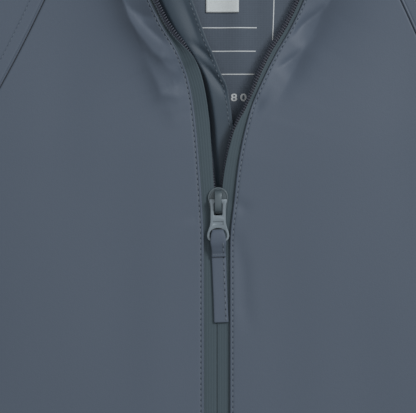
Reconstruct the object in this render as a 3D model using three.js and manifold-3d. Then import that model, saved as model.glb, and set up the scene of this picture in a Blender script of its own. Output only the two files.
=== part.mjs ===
// A toddler's rain suit laid out on its back: a hooded zip jacket with raglan sleeves, and trousers below it.
// Sizes are in millimetres. X runs across the suit, Y up it towards the hood, and Z out of its front.
// Plan sizes are measured from the zip's line and from a level 84 mm above the zip's slider.
// Every cloth piece is a wall, and the garment's inside is the empty space between upper and lower walls.
import * as THREE from 'three';
import { mergeVertices } from 'three/addons/utils/BufferGeometryUtils.js';
import Module from 'manifold-3d';

const wasm = await Module();
wasm.setup();

// Cloth
const clothWall = 1.2;
const bandWall = 1.6;
const tapeWall = 1.0;
const labelWall = 0.8;
const seamGap = 0.3;
const layerGap = 0.42;

// How high the upper layer stands over the surface that the suit lies on
const loft = { body: 16, hood: 14, sleeve: 13, trousers: 14, fold: 34, edge: 2.45 };
const openEdges = {
  hemDrop: 5,
  hemReach: 60,
  cuffDrop: 4,
  cuffReach: 55,
  neckDrop: 2.5,
  neckReach: 70,
  legDrop: 4,
};

// Places in plan, for the side of positive X
const jacketHem = { x: 180, y: -366 };
const underarm = { x: 168, y: -120 };
const neckPoint = { x: 63.5, y: 34 };
const shoulderFold = { x: 78, y: 54 };
const cuff = { outerX: 338, outerY: -226, innerX: 266, innerY: -276 };
const backNeckY = 26;
const hoodTop = { x: seamGap / 2, y: 240 };
const hoodRimTop = { x: seamGap / 2, y: 196 };
const hoodSeamEndY = 206;
const zipTopY = 14;
const zipBottomY = -366;
const tapeBottomY = -356;
const waist = { x: 126, top: -382, seam: -410 };
const crotchY = -590;
const legHem = { inner: 54, outer: 170, y: -880 };
// A piece stands this far from its neighbour across a seam; the shift fades out at the middle of the suit
const noShift = { x: 0, y: 0 };
const sleeveShift = { x: 0.34, y: 0.14 };
const hoodShift = { x: -0.15, y: 0.42 };
const middleY = (hoodTop.y + hoodShift.y + legHem.y) / 2;

// How far each front's edge stands from the zip's line, going up the zip
const zipEdges = [
  { y: -400, right: 5.8, left: 5.8 },
  { y: -110, right: 5.9, left: 5.7 },
  { y: -90, right: 6.8, left: 7.6 },
  { y: -70, right: 8.4, left: 9.9 },
  { y: -50, right: 11.1, left: 13.9 },
  { y: -36, right: 14.3, left: 19.0 },
  { y: -24, right: 19.5, left: 24.5 },
  { y: -12, right: 27.2, left: 31.1 },
  { y: 0, right: 33.2, left: 36.6 },
  { y: 20, right: 41.5, left: 44.0 },
];

// The largest folds: a trough from one point to the other, negative where it is a ridge
const folds = [
  { x1: -52, y1: 22, x2: -17, y2: -36, wide: 7, deep: 5.5 },
  { x1: 60, y1: 16, x2: 34, y2: -14, wide: 7, deep: 4.5 },
  { x1: 46, y1: -6, x2: 26, y2: -46, wide: 6, deep: 1.8 },
  { x1: 168, y1: -120, x2: 118, y2: -168, wide: 11, deep: 3.0 },
  { x1: -168, y1: -120, x2: -112, y2: -160, wide: 11, deep: 3.2 },
  { x1: 172, y1: -118, x2: 196, y2: -66, wide: 10, deep: 3.0 },
  { x1: -172, y1: -118, x2: -192, y2: -60, wide: 10, deep: 3.2 },
  { x1: 226, y1: -196, x2: 268, y2: -158, wide: 9, deep: 3.0 },
  { x1: -222, y1: -188, x2: -262, y2: -146, wide: 9, deep: 2.8 },
  { x1: -250, y1: -226, x2: -286, y2: -204, wide: 8, deep: 2.2 },
  { x1: 84, y1: -366, x2: 70, y2: -290, wide: 12, deep: 2.6 },
  { x1: -120, y1: -366, x2: -104, y2: -276, wide: 13, deep: 2.8 },
  { x1: 92, y1: 84, x2: 66, y2: 120, wide: 8, deep: 2.6 },
  { x1: -94, y1: 90, x2: -64, y2: 132, wide: 8, deep: 2.4 },
  { x1: 60, y1: 222, x2: 34, y2: 200, wide: 8, deep: 2.2 },
  { x1: 4, y1: -592, x2: 74, y2: -540, wide: 11, deep: 3.2 },
  { x1: -4, y1: -592, x2: -80, y2: -548, wide: 11, deep: 3.0 },
  { x1: 66, y1: -716, x2: 132, y2: -700, wide: 12, deep: 2.6 },
  { x1: -60, y1: -706, x2: -124, y2: -722, wide: 12, deep: 2.8 },
  { x1: 96, y1: -800, x2: 150, y2: -780, wide: 11, deep: 2.0 },
  { x1: -118, y1: -812, x2: -68, y2: -796, wide: 11, deep: 2.0 },
];

// The upper body lies a little to one side
const lean = { by: 2.5, from: -84, over: 84 };

// Zip
const tape = { under: 3, shown: 5.8, hingeAt: 1, tiltFrom: -42, tiltTo: 4, tiltRight: 62, tiltLeft: 48 };
const guard = { sewnOut: 5, sewnIn: 3, drop: 5.8, leastClosed: 7.4, leastOpen: 5.2 };
const slider = { x: 0.5, y: -90.5, halfWidth: 4.6, plate: 1.1, front: 6.2, back: 5.6, post: 1.6 };
const bridge = { halfWidth: 1.6, front: 5.0, back: 5.2, top: 2.4, thick: 1.0, pivotAbove: 1.3 };
const puller = {
  thick: 1.2,
  ear: 3.6,
  top: 0.9,
  neck: 3.2,
  windowHalf: 2.05,
  windowEnd: 6.3,
  ringAt: 15,
  ringRadius: 5,
};
const pullerEye = { radius: 3.8, end: 17.0, bar: 1.2, barHalf: 3.6 };
const tab = { halfWidth: 3.5, end: 54.6, clear: 0.42, skin: 1.1, floor: -2.4, flat: 2.4, lean: 2.2 };
const stopBox = { width: 7.4, height: 9, thick: 2.2 };
const label = { x: 0, width: 15, bottom: -5.4, top: 14.6 };

const clamp = (t) => Math.min(1, Math.max(0, t));
const ease = (t) => clamp(t) ** 2 * (3 - 2 * clamp(t));
const mix = (a, b, t) => a + (b - a) * t;
const between = (p, q, t) => ({ x: mix(p.x, q.x, t), y: mix(p.y, q.y, t) });
const steps = (n) => Array.from({ length: n + 1 }, (_, i) => i / n);

// A named column of a table at a level, with straight runs between the rows
function column(rows, name, y) {
  const next = Math.min(rows.length - 1, Math.max(1, rows.findIndex((row) => row.y >= y)));
  const [a, b] = [rows[next - 1], rows[next]];
  return mix(a[name], b[name], clamp((y - a.y) / (b.y - a.y)));
}

// A curve in plan, which leaves one place towards the first handle and reaches the other from the second
function bend(from, handle, handle2, to) {
  const curve = new THREE.CubicBezierCurve(
    new THREE.Vector2(from.x, from.y),
    new THREE.Vector2(handle.x, handle.y),
    new THREE.Vector2(handle2.x, handle2.y),
    new THREE.Vector2(to.x, to.y),
  );
  return (t) => {
    const p = curve.getPointAt(clamp(t));
    return { x: p.x, y: p.y };
  };
}

const cuffOuter = { x: cuff.outerX, y: cuff.outerY };
const cuffInner = { x: cuff.innerX, y: cuff.innerY };
const legOuter = { x: legHem.outer, y: legHem.y };
const legInner = { x: legHem.inner, y: legHem.y };
const waistSide = { x: waist.x, y: waist.seam };
const crotch = { x: seamGap / 2, y: crotchY };

const sideSeam = bend(jacketHem, { x: 177, y: -290 }, { x: 170, y: -190 }, underarm);
const raglan = bend(neckPoint, { x: 93.5, y: -26 }, { x: 138, y: -78 }, underarm);
const overarm = bend(shoulderFold, { x: 168, y: 14 }, { x: 262, y: -120 }, cuffOuter);
const undersleeve = bend(underarm, { x: 196, y: -150 }, { x: 232, y: -228 }, cuffInner);
const hoodFold = bend(shoulderFold, { x: 130, y: 122 }, { x: 116, y: 240 }, hoodTop);
const legOutside = bend(waistSide, { x: 158, y: -520 }, { x: 150, y: -640 }, legOuter);
const legInside = bend(crotch, { x: 8, y: -640 }, { x: 42, y: -780 }, legInner);

// Where the cloth turns over from the front to the back
const foldCurves = [sideSeam, overarm, undersleeve, hoodFold, legOutside, legInside];
const foldLines = foldCurves.map((curve) => steps(20).map(curve));

function distanceToRun(x, y, a, b) {
  const [dx, dy] = [b.x - a.x, b.y - a.y];
  const t = clamp(((x - a.x) * dx + (y - a.y) * dy) / (dx * dx + dy * dy));
  return { apart: Math.hypot(x - a.x - dx * t, y - a.y - dy * t), along: t };
}

function distanceToFold(x, y) {
  let least = Infinity;
  for (const line of foldLines) {
    for (let i = 1; i < line.length; i++) {
      least = Math.min(least, distanceToRun(x, y, line[i - 1], line[i]).apart);
    }
  }
  return least;
}

function fullLoft(x, y) {
  if (y < (jacketHem.y + waist.top) / 2) {
    return loft.trousers - openEdges.legDrop * ease((legHem.y + openEdges.hemReach - y) / openEdges.hemReach);
  }
  const side = Math.abs(x);
  const body = mix(loft.body, loft.sleeve, ease((side - 110) / 90));
  const upper = mix(body, loft.hood, ease((y + 10) / 60));
  const hem = openEdges.hemDrop * ease((jacketHem.y + openEdges.hemReach - y) / openEdges.hemReach);
  const toCuff = distanceToRun(side, y, cuffOuter, cuffInner).apart;
  const neck = openEdges.neckDrop * ease((y + openEdges.neckReach) / openEdges.neckReach);
  const end = openEdges.cuffDrop * ease(1 - toCuff / openEdges.cuffReach);
  return upper - hem * ease((200 - side) / 20) - end - neck;
}

function foldDepth(x, y) {
  let depth = 0;
  for (const f of folds) {
    const near = distanceToRun(x, y, { x: f.x1, y: f.y1 }, { x: f.x2, y: f.y2 });
    depth += f.deep * (1 - 0.75 * near.along) * Math.exp(-((near.apart / f.wide) ** 2));
  }
  return depth;
}

// The height of the upper layer's outer face over a place in plan
function heightAt(x, y) {
  const r = clamp(distanceToFold(Math.abs(x), y) / loft.fold);
  const round = Math.sqrt(r * (2 - r));
  return loft.edge + (fullLoft(x, y) - loft.edge) * round - foldDepth(x, y) * Math.min(1, round * 1.2);
}

// The outward direction there, read a little way in where the cloth turns over
function facingAt(x, y, inward) {
  const reach = 0.35;
  const shift = distanceToFold(Math.abs(x), y) < 0.5 ? 0.45 : 0;
  const [px, py] = [x + inward.x * shift, y + inward.y * shift];
  const slopeX = (heightAt(px + reach, py) - heightAt(px - reach, py)) / (2 * reach);
  const slopeY = (heightAt(px, py + reach) - heightAt(px, py - reach)) / (2 * reach);
  return new THREE.Vector3(-slopeX, -slopeY, 1).normalize();
}

function leaned(p) {
  return new THREE.Vector3(p.x + lean.by * ease((p.y - lean.from) / lean.over), p.y - middleY, p.z);
}

function shifted(p, shift, z) {
  return { x: p.x + Math.sign(p.x) * shift.x * ease(Math.abs(p.x) / 20), y: p.y + shift.y, z };
}

// A row of outer points on the upper layer, through plan places, each with the way it faces
function upperRow(places, shift = noShift) {
  const middle = places[Math.floor(places.length / 2)];
  return places.map((p) => {
    const away = Math.hypot(middle.x - p.x, middle.y - p.y) || 1;
    const inward = { x: (middle.x - p.x) / away, y: (middle.y - p.y) / away };
    return { at: shifted(p, shift, heightAt(p.x, p.y)), facing: facingAt(p.x, p.y, inward) };
  });
}

function lowerRow(places, shift = noShift) {
  return places.map((p) => ({ at: shifted(p, shift, 0), facing: new THREE.Vector3(0, 0, -1) }));
}

function solidFromFaces(points, faces) {
  const geometry = new THREE.BufferGeometry();
  const numbers = points.flatMap((p) => [p.x, p.y, p.z]);
  geometry.setAttribute('position', new THREE.Float32BufferAttribute(numbers, 3));
  geometry.setIndex(faces.flat());
  const volume = faces.reduce((sum, [a, b, c]) => sum + points[a].dot(points[b].clone().cross(points[c])), 0);
  if (volume < 0) geometry.setIndex(faces.map(([a, b, c]) => [a, c, b]).flat());
  geometry.computeVertexNormals();
  return geometry;
}

// Cloth through rows of outer points: the inner face lies one wall further in, and edges join the two
function clothThrough(rows, wall, closed = false) {
  const across = rows[0].length;
  const outer = rows.flat().map(({ at }) => leaned(at));
  const inner = rows.flat().map(({ at, facing }) => leaned({
    x: at.x - facing.x * wall,
    y: at.y - facing.y * wall,
    z: at.z - facing.z * wall,
  }));
  const points = [...outer, ...inner];
  const faces = [];
  const quad = (a, b, c, d) => faces.push([a, b, c], [a, c, d]);
  const index = (i, j, side) => i * across + (j % across) + side * outer.length;
  const lastColumn = closed ? across : across - 1;
  for (let i = 0; i + 1 < rows.length; i++) {
    for (let j = 0; j < lastColumn; j++) {
      quad(index(i, j, 0), index(i, j + 1, 0), index(i + 1, j + 1, 0), index(i + 1, j, 0));
      quad(index(i, j, 1), index(i + 1, j, 1), index(i + 1, j + 1, 1), index(i, j + 1, 1));
    }
    if (!closed) {
      quad(index(i, 0, 1), index(i, 0, 0), index(i + 1, 0, 0), index(i + 1, 0, 1));
      const j = across - 1;
      quad(index(i, j, 0), index(i, j, 1), index(i + 1, j, 1), index(i + 1, j, 0));
    }
  }
  for (let j = 0; j < lastColumn; j++) {
    quad(index(0, j, 1), index(0, j + 1, 1), index(0, j + 1, 0), index(0, j, 0));
    const last = rows.length - 1;
    quad(index(last, j, 0), index(last, j + 1, 0), index(last, j + 1, 1), index(last, j, 1));
  }
  return solidFromFaces(points, faces);
}

const shell = { color: 0x535e6a, roughness: 0.62, metalness: 0 };
const materials = {
  cloth: new THREE.MeshStandardMaterial(shell),
  tape: new THREE.MeshStandardMaterial({ color: 0x53605f, roughness: 0.8, metalness: 0 }),
  metal: new THREE.MeshStandardMaterial({ color: 0x6f7d85, roughness: 0.35, metalness: 0.6 }),
  label: new THREE.MeshStandardMaterial({ color: 0xb9c1c4, roughness: 0.7, metalness: 0 }),
};

const suit = new THREE.Group();
const swinging = new THREE.Group();

function add(name, geometry, material, group = suit) {
  const mesh = new THREE.Mesh(geometry, material);
  mesh.name = name;
  group.add(mesh);
  return mesh;
}

// Jacket

const sideRows = steps(8);
const raglanRows = [0, 0.05, 0.1, 0.15, 0.2, 0.26, 0.33, 0.4, 0.5, 0.62, 0.76, 0.89, 1];
const underarmShare = 0.6;

// The outer edge of the fronts and the back, from the hem to the underarm and up the raglan seam
const bodyEdge = [
  ...sideRows.map((t) => ({ share: t * underarmShare, at: sideSeam(t) })),
  ...raglanRows.slice(0, -1).reverse().map((t) => ({ share: mix(1, underarmShare, t), at: raglan(t) })),
];

function zipEdge(side, y) {
  return { x: side * column(zipEdges, side < 0 ? 'right' : 'left', y), y };
}

const mirrored = (side) => (p) => ({ x: side * p.x, y: p.y });

// The two ends of a front's row: on the zip's edge, and on the side or the raglan seam
function bodyRow(side, share) {
  const next = Math.max(1, bodyEdge.findIndex((row) => row.share >= share));
  const [a, b] = [bodyEdge[next - 1], bodyEdge[next]];
  const outside = between(a.at, b.at, (share - a.share) / (b.share - a.share));
  return { inside: zipEdge(side, mix(zipBottomY, zipTopY, share)), outside: mirrored(side)(outside) };
}

function alongRow({ inside, outside }, far) {
  return between(inside, outside, far / Math.hypot(outside.x - inside.x, outside.y - inside.y));
}

function front(side) {
  const shares = [0, 0.05, 0.11, 0.19, 0.29, 0.42, 0.58, 0.74, 0.86, 0.93, 0.975, 0.993, 1];
  return clothThrough(bodyEdge.map(({ share }) => {
    const row = bodyRow(side, share);
    const sewn = alongRow(row, tape.under);
    return upperRow([row.inside, ...shares.map((t) => between(sewn, row.outside, t))]);
  }), clothWall);
}

function back() {
  return clothThrough(bodyEdge.map(({ share, at }) => lowerRow(steps(8).map((t) => {
    const neckCurve = (neckPoint.y - backNeckY) * 4 * t * (1 - t) * ease((share - 0.8) / 0.2);
    return { x: mix(-at.x, at.x, t), y: at.y - neckCurve };
  }))), clothWall);
}

// The sleeve's head: from the shoulder fold down the neck to the raglan seam, and along it to the underarm
const neckSideShare = 0.12;
const sleeveHead = [
  ...[0, 0.5].map((t) => ({ share: t * neckSideShare, at: between(shoulderFold, neckPoint, t) })),
  ...raglanRows.map((t) => ({ share: mix(neckSideShare, 1, t), at: raglan(t) })),
];
const sleeveStations = [0, 0.04, 0.1, 0.18, 0.28, 0.39, 0.5, 0.61, 0.72, 0.83, 0.93, 1];
const headFade = 0.45;
const cornerInset = 1.6;

function sleevePlan(station, share, head) {
  const top = overarm(station);
  const under = undersleeve(station);
  const straight = between(top, under, share);
  const headStraight = between(shoulderFold, underarm, share);
  const left = ease(1 - station / headFade);
  return {
    x: straight.x + (head.x - headStraight.x) * left,
    y: straight.y + (head.y - headStraight.y) * left,
  };
}

// The sleeve is cut in two, and its front and back meet at the folds above and below the arm
function sleevePlaces(side, shares) {
  const headAt = (share) => {
    const next = Math.max(1, sleeveHead.findIndex((h) => h.share >= share));
    const [a, b] = [sleeveHead[next - 1], sleeveHead[next]];
    return between(a.at, b.at, (share - a.share) / (b.share - a.share));
  };
  return sleeveStations.map((station) => (
    shares.map((share) => mirrored(side)(sleevePlan(station, share, headAt(share))))
  ));
}

function sleeveFront(side) {
  const edgeShares = [0.008, 0.03];
  const shares = [...sleeveHead.map((h) => h.share), ...edgeShares, ...edgeShares.map((s) => 1 - s)];
  const places = sleevePlaces(side, shares.sort((a, b) => a - b));
  return clothThrough(places.map((row) => upperRow(row, sleeveShift)), clothWall);
}

function sleeveBack(side) {
  const places = sleevePlaces(side, sleeveHead.map((h) => h.share));
  return clothThrough(places.map((row) => lowerRow(row, sleeveShift)), clothWall);
}

// A hood half: from the face opening over the top to the fold, and back under to the centre seam
function hood(side) {
  const corner = { x: Math.abs(zipEdge(side, zipTopY).x), y: zipTopY };
  const rim = bend(corner, { x: 66, y: 70 }, { x: 62, y: 196 }, hoodRimTop);
  const upShares = [0, 0.07, 0.16, 0.26, 0.37, 0.48, 0.59, 0.7, 0.8, 0.9, 1];
  const topShares = [0, 0.18, 0.36, 0.54, 0.7, 0.83, 0.93, 0.98, 1];
  const bottomShares = [0, 0.2, 0.4, 0.6, 0.8, 1];
  const kneeTop = 0.54;
  const kneeBottom = 0.2;
  const neckTop = (t) => (t < kneeTop
    ? between(corner, neckPoint, t / kneeTop)
    : between(neckPoint, shoulderFold, (t - kneeTop) / (1 - kneeTop)));
  const middleBack = { x: seamGap / 2, y: backNeckY };
  const neckBottom = (t) => {
    if (t < kneeBottom) return between(shoulderFold, neckPoint, t / kneeBottom);
    const toMiddle = (t - kneeBottom) / (1 - kneeBottom);
    const p = between(neckPoint, middleBack, toMiddle);
    return { x: p.x, y: backNeckY + (neckPoint.y - backNeckY) * (1 - toMiddle) ** 2 };
  };
  return clothThrough(upShares.map((up) => {
    const left = ease(1 - up / 0.5);
    const start = rim(up);
    const fold = hoodFold(up);
    const end = { x: seamGap / 2, y: mix(backNeckY, hoodSeamEndY, up) };
    const shaped = (a, b, a0, b0, neck, t) => {
      const straight = between(a, b, t);
      const neckStraight = between(a0, b0, t);
      const n = neck(t);
      return { x: straight.x + (n.x - neckStraight.x) * left, y: straight.y + (n.y - neckStraight.y) * left };
    };
    const top = topShares.map((t) => shaped(start, fold, corner, shoulderFold, neckTop, t));
    const bottom = bottomShares.map((t) => shaped(fold, end, shoulderFold, middleBack, neckBottom, t));
    const last = bottom.length - 1;
    const away = Math.hypot(bottom[1].x - bottom[0].x, bottom[1].y - bottom[0].y);
    bottom[0] = between(bottom[0], bottom[1], cornerInset / away);
    bottom[last] = { x: seamGap / 2, y: bottom[last].y };
    return [
      ...upperRow(top.map(mirrored(side)), hoodShift),
      ...lowerRow(bottom.map(mirrored(side)), hoodShift),
    ];
  }), clothWall);
}

// Zip: tape, guard, bottom box, slider, puller and its cloth tab

// Shares of the zip's length, which follow the rows of the fronts
const tapeShares = [
  (tapeBottomY - zipBottomY) / (zipTopY - zipBottomY),
  ...bodyEdge.slice(1, -1).map(({ share }) => share),
  0.9975,
];

// The way into the opening, square to the zip's edge
function intoOpening(side, y) {
  const [a, b] = [zipEdge(side, y - 1), zipEdge(side, y + 1)];
  const long = Math.hypot(b.x - a.x, b.y - a.y);
  return { x: -side * (b.y - a.y) / long, y: side * (b.x - a.x) / long };
}

// A height that clears the inner face of the cloth over a place, with so many layers between
function under(p, layers) {
  const steep = facingAt(p.x, p.y, noShift).z;
  return heightAt(p.x, p.y) - (clothWall + layerGap + layers * (tapeWall + seamGap)) / steep;
}

// Each tape lies flat where the zip is closed, and turns its teeth up where it is open at the neck
function zipTape(side) {
  const most = side < 0 ? tape.tiltRight : tape.tiltLeft;
  return clothThrough(tapeShares.map((share) => {
    const row = bodyRow(side, share);
    const at = row.inside;
    const inward = intoOpening(side, at.y);
    const turnedUp = ease((at.y - tape.tiltFrom) / (tape.tiltTo - tape.tiltFrom));
    const tilt = THREE.MathUtils.degToRad(most) * turnedUp;
    const shown = Math.min(tape.shown, Math.abs(at.x) - seamGap / 2);
    const edgeHeight = under(at, 0);
    const sewn = alongRow(row, tape.under);
    const level = new THREE.Vector3(0, 0, 1);
    const turned = new THREE.Vector3(-inward.x * Math.sin(tilt), -inward.y * Math.sin(tilt), Math.cos(tilt));
    const beyond = [tape.hingeAt, mix(tape.hingeAt, shown, 0.5), shown].map((far, i) => {
      const past = far - tape.hingeAt;
      const out = tape.hingeAt + past * Math.cos(tilt);
      const z = edgeHeight + past * Math.sin(tilt);
      return { at: { x: at.x + inward.x * out, y: at.y + inward.y * out, z }, facing: i ? turned : level };
    });
    return [
      { at: { ...sewn, z: under(sewn, 0) }, facing: level },
      { at: { ...at, z: edgeHeight }, facing: level },
      ...beyond,
    ];
  }), tapeWall);
}

// The wind guard is sewn behind one front, drops clear of the slider and runs behind the teeth
function zipGuard() {
  return clothThrough(tapeShares.map((share) => {
    const row = bodyRow(-1, share);
    const near = row.inside;
    const far = { x: 12 - 24 * ease((near.y + 80) / 90), y: near.y - 4 * ease((near.y + 70) / 70) };
    const least = mix(guard.leastClosed, guard.leastOpen, ease((near.y + 110) / 40));
    const low = Math.max(heightAt(near.x, near.y) - guard.drop, least);
    const farHeight = mix(low, Math.max(low - 1.6, 3.4), ease((near.y + 90) / 60));
    const sewn = [guard.sewnOut, guard.sewnIn].map((away) => {
      const p = alongRow(row, away);
      return { ...p, z: under(p, 1) - 0.1 };
    });
    const free = [0.35, 0.7, 1].map((t) => ({ ...between(near, far, t), z: mix(low, farHeight, t) }));
    const places = [...sewn, { ...near, z: low }, ...free];
    return places.map((p, j) => {
      const before = places[Math.max(0, j - 1)];
      const after = places[Math.min(places.length - 1, j + 1)];
      const run = Math.hypot(after.x - before.x, after.y - before.y);
      const slope = (after.z - before.z) / run;
      const way = { x: (after.x - before.x) / run, y: (after.y - before.y) / run };
      return { at: p, facing: new THREE.Vector3(-way.x * slope, -way.y * slope, 1).normalize() };
    });
  }), clothWall);
}

const extruded = (shape, depth, curveSegments) => (
  new THREE.ExtrudeGeometry(shape, { depth, bevelEnabled: false, curveSegments })
);

// A flat plate in plan with rounded corners, from one height to another
function plate(halfWidth, low, high, bottom, top, corner) {
  const shape = new THREE.Shape();
  shape.moveTo(-halfWidth + corner, low);
  shape.lineTo(halfWidth - corner, low);
  shape.absarc(halfWidth - corner, low + corner, corner, -Math.PI / 2, 0);
  shape.lineTo(halfWidth, high - corner);
  shape.absarc(halfWidth - corner, high - corner, corner, 0, Math.PI / 2);
  shape.lineTo(-halfWidth + corner, high);
  shape.absarc(-halfWidth + corner, high - corner, corner, Math.PI / 2, Math.PI);
  shape.lineTo(-halfWidth, low + corner);
  shape.absarc(-halfWidth + corner, low + corner, corner, Math.PI, Math.PI * 1.5);
  return extruded(shape, top - bottom, 4).translate(0, 0, bottom);
}

function toSolid(geometry) {
  const bare = geometry.clone();
  bare.deleteAttribute('normal');
  bare.deleteAttribute('uv');
  const merged = mergeVertices(bare, 1e-4);
  return new wasm.Manifold(new wasm.Mesh({
    numProp: 3,
    vertProperties: new Float32Array(merged.attributes.position.array),
    triVerts: new Uint32Array(merged.index.array),
  }));
}

function fromSolid(solid) {
  const mesh = solid.getMesh();
  const geometry = new THREE.BufferGeometry();
  geometry.setAttribute('position', new THREE.BufferAttribute(new Float32Array(mesh.vertProperties), 3));
  geometry.setIndex(new THREE.BufferAttribute(new Uint32Array(mesh.triVerts), 1));
  geometry.computeVertexNormals();
  return geometry;
}

const joined = (...parts) => fromSolid(parts.map(toSolid).reduce((a, b) => a.add(b)));
const without = (body, ...holes) => (
  fromSolid(holes.map(toSolid).reduce((a, b) => a.subtract(b), toSolid(body)))
);

const tapeTop = heightAt(5.8, slider.y) - clothWall - layerGap;
const plateLow = tapeTop + seamGap;
const plateHigh = plateLow + slider.plate;
const pivotHeight = plateHigh + bridge.pivotAbove;
const lowerPlateHigh = tapeTop - tapeWall - 1.6;

function sliderBody() {
  const { halfWidth, back, front: mouth } = slider;
  const top = plate(halfWidth, -back, mouth, plateLow, plateHigh, 1.8);
  const bottom = plate(halfWidth, -back, mouth, lowerPlateHigh - slider.plate, lowerPlateHigh, 1.8);
  const post = plate(slider.post / 2, mouth - 1.4, mouth, lowerPlateHigh - 0.5, plateLow + 0.5, 0.4);
  const profile = new THREE.Shape();
  const legs = plateHigh - 0.4 - pivotHeight;
  profile.moveTo(-bridge.back, legs);
  profile.lineTo(-bridge.back, bridge.top - 1.2);
  profile.quadraticCurveTo(-bridge.back, bridge.top, -bridge.back + 1.6, bridge.top);
  profile.lineTo(bridge.front - 1.6, bridge.top);
  profile.quadraticCurveTo(bridge.front, bridge.top, bridge.front, bridge.top - 1.2);
  profile.lineTo(bridge.front, legs);
  profile.lineTo(bridge.front - bridge.thick, legs);
  profile.lineTo(bridge.front - bridge.thick, bridge.top - bridge.thick);
  profile.lineTo(-bridge.back + bridge.thick, bridge.top - bridge.thick);
  profile.lineTo(-bridge.back + bridge.thick, legs);
  const arch = extruded(profile, bridge.halfWidth * 2, 3);
  arch.applyMatrix4(new THREE.Matrix4().makeBasis(
    new THREE.Vector3(0, 1, 0),
    new THREE.Vector3(0, 0, 1),
    new THREE.Vector3(1, 0, 0),
  )).translate(-bridge.halfWidth, 0, pivotHeight);
  return joined(top, bottom, post, arch).translate(slider.x, slider.y - middleY, 0);
}

// The puller hangs from its crossbar, with a window for the bridge and an eye for the tab
function pullerPlate() {
  const tip = -pullerEye.end - pullerEye.bar;
  const shape = new THREE.Shape();
  shape.moveTo(-puller.ear, puller.top);
  shape.lineTo(-puller.neck, -puller.windowEnd);
  shape.quadraticCurveTo(-puller.neck, -puller.ringAt + 4.6, -puller.ringRadius, -puller.ringAt);
  shape.lineTo(-puller.ringRadius, -puller.ringAt - 1);
  shape.quadraticCurveTo(-puller.ringRadius, tip, -pullerEye.barHalf, tip);
  shape.lineTo(pullerEye.barHalf, tip);
  shape.quadraticCurveTo(puller.ringRadius, tip, puller.ringRadius, -puller.ringAt - 1);
  shape.lineTo(puller.ringRadius, -puller.ringAt);
  shape.quadraticCurveTo(puller.neck, -puller.ringAt + 4.6, puller.neck, -puller.windowEnd);
  shape.lineTo(puller.ear, puller.top);
  const window = new THREE.Path();
  window.moveTo(-puller.windowHalf, -puller.top);
  window.lineTo(-puller.windowHalf, -puller.windowEnd);
  window.lineTo(puller.windowHalf, -puller.windowEnd);
  window.lineTo(puller.windowHalf, -puller.top);
  const eye = new THREE.Path();
  eye.moveTo(-pullerEye.radius, -pullerEye.end);
  eye.lineTo(pullerEye.radius, -pullerEye.end);
  eye.absarc(0, -puller.ringAt, pullerEye.radius, 0, Math.PI);
  const holes = [window, eye].map((path) => (
    extruded(new THREE.Shape(path.getPoints(6)), puller.thick + 2, 1).translate(0, 0, -1)
  ));
  const body = without(extruded(shape, puller.thick, 6), ...holes);
  return body.translate(slider.x, slider.y - middleY, pivotHeight - puller.thick / 2);
}

// The tab is a strip of the shell cloth, looped through the eye round the puller's bar
function pullTab() {
  const barLow = -pullerEye.end - pullerEye.bar - tab.clear;
  const barHigh = -pullerEye.end + tab.clear;
  const over = puller.thick / 2 + tab.clear + tab.skin;
  const side = new THREE.Shape();
  side.moveTo(barHigh + tab.skin, over - 0.7);
  side.lineTo(barHigh + tab.skin - 0.7, over);
  side.lineTo(barLow - tab.skin, over);
  side.lineTo(barLow - 6, tab.floor + tab.flat);
  side.lineTo(-tab.end, tab.floor + tab.flat);
  side.lineTo(-tab.end, tab.floor);
  side.lineTo(barLow - 3, tab.floor);
  side.lineTo(barHigh + tab.skin - 0.7, -over);
  side.lineTo(barHigh + tab.skin, -over + 0.7);
  const slot = new THREE.Path();
  slot.moveTo(barLow, -over + tab.skin);
  slot.lineTo(barHigh, -over + tab.skin);
  slot.lineTo(barHigh, over - tab.skin);
  slot.lineTo(barLow, over - tab.skin);
  side.holes.push(slot);
  const geometry = extruded(side, tab.halfWidth * 2, 1);
  geometry.applyMatrix4(new THREE.Matrix4().makeBasis(
    new THREE.Vector3(0, 1, 0),
    new THREE.Vector3(0, 0, 1),
    new THREE.Vector3(1, 0, 0),
  )).translate(-tab.halfWidth, pullerEye.end, 0);
  geometry.rotateZ(THREE.MathUtils.degToRad(tab.lean));
  return geometry.translate(slider.x, slider.y - middleY - pullerEye.end, pivotHeight);
}

function zipBox() {
  const z = heightAt(5.8, tapeBottomY) - clothWall - layerGap;
  const high = tapeBottomY - middleY - seamGap;
  return plate(stopBox.width / 2, high - stopBox.height, high, z - stopBox.thick, z, 1.2);
}

// Labels lie on the back's inner face
function neckLabel() {
  const rows = [label.bottom, mix(label.bottom, label.top, 0.5), label.top];
  return clothThrough(rows.map((y) => steps(4).map((t) => ({
    at: { x: label.x + label.width * (t - 0.5), y, z: clothWall + seamGap + labelWall },
    facing: new THREE.Vector3(0, 0, 1),
  }))), labelWall);
}

// Trousers

function legRows() {
  const hips = [waist.seam - seamGap, -440, -475, -515, -555];
  const legs = [crotchY, -620, -660, -705, -750, -800, -845, legHem.y];
  const atLevel = (curve, y) => {
    let [low, high] = [0, 1];
    for (let i = 0; i < 30; i++) {
      const t = (low + high) / 2;
      if (curve(t).y > y) low = t;
      else high = t;
    }
    return { x: curve((low + high) / 2).x, y };
  };
  return [...hips, ...legs].map((y) => ({
    inner: y >= crotchY ? { x: seamGap / 2, y } : atLevel(legInside, y),
    outer: atLevel(legOutside, y),
  }));
}

function legFront(side) {
  const shares = [0, 0.012, 0.045, 0.12, 0.24, 0.4, 0.6, 0.76, 0.88, 0.955, 0.988, 1];
  return clothThrough(legRows().map(({ inner, outer }) => (
    upperRow(shares.map((t) => mirrored(side)(between(inner, outer, t))))
  )), clothWall);
}

function legBack(side) {
  return clothThrough(legRows().map(({ inner, outer }) => (
    lowerRow(steps(4).map((t) => mirrored(side)(between(inner, outer, t))))
  )), clothWall);
}

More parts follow.
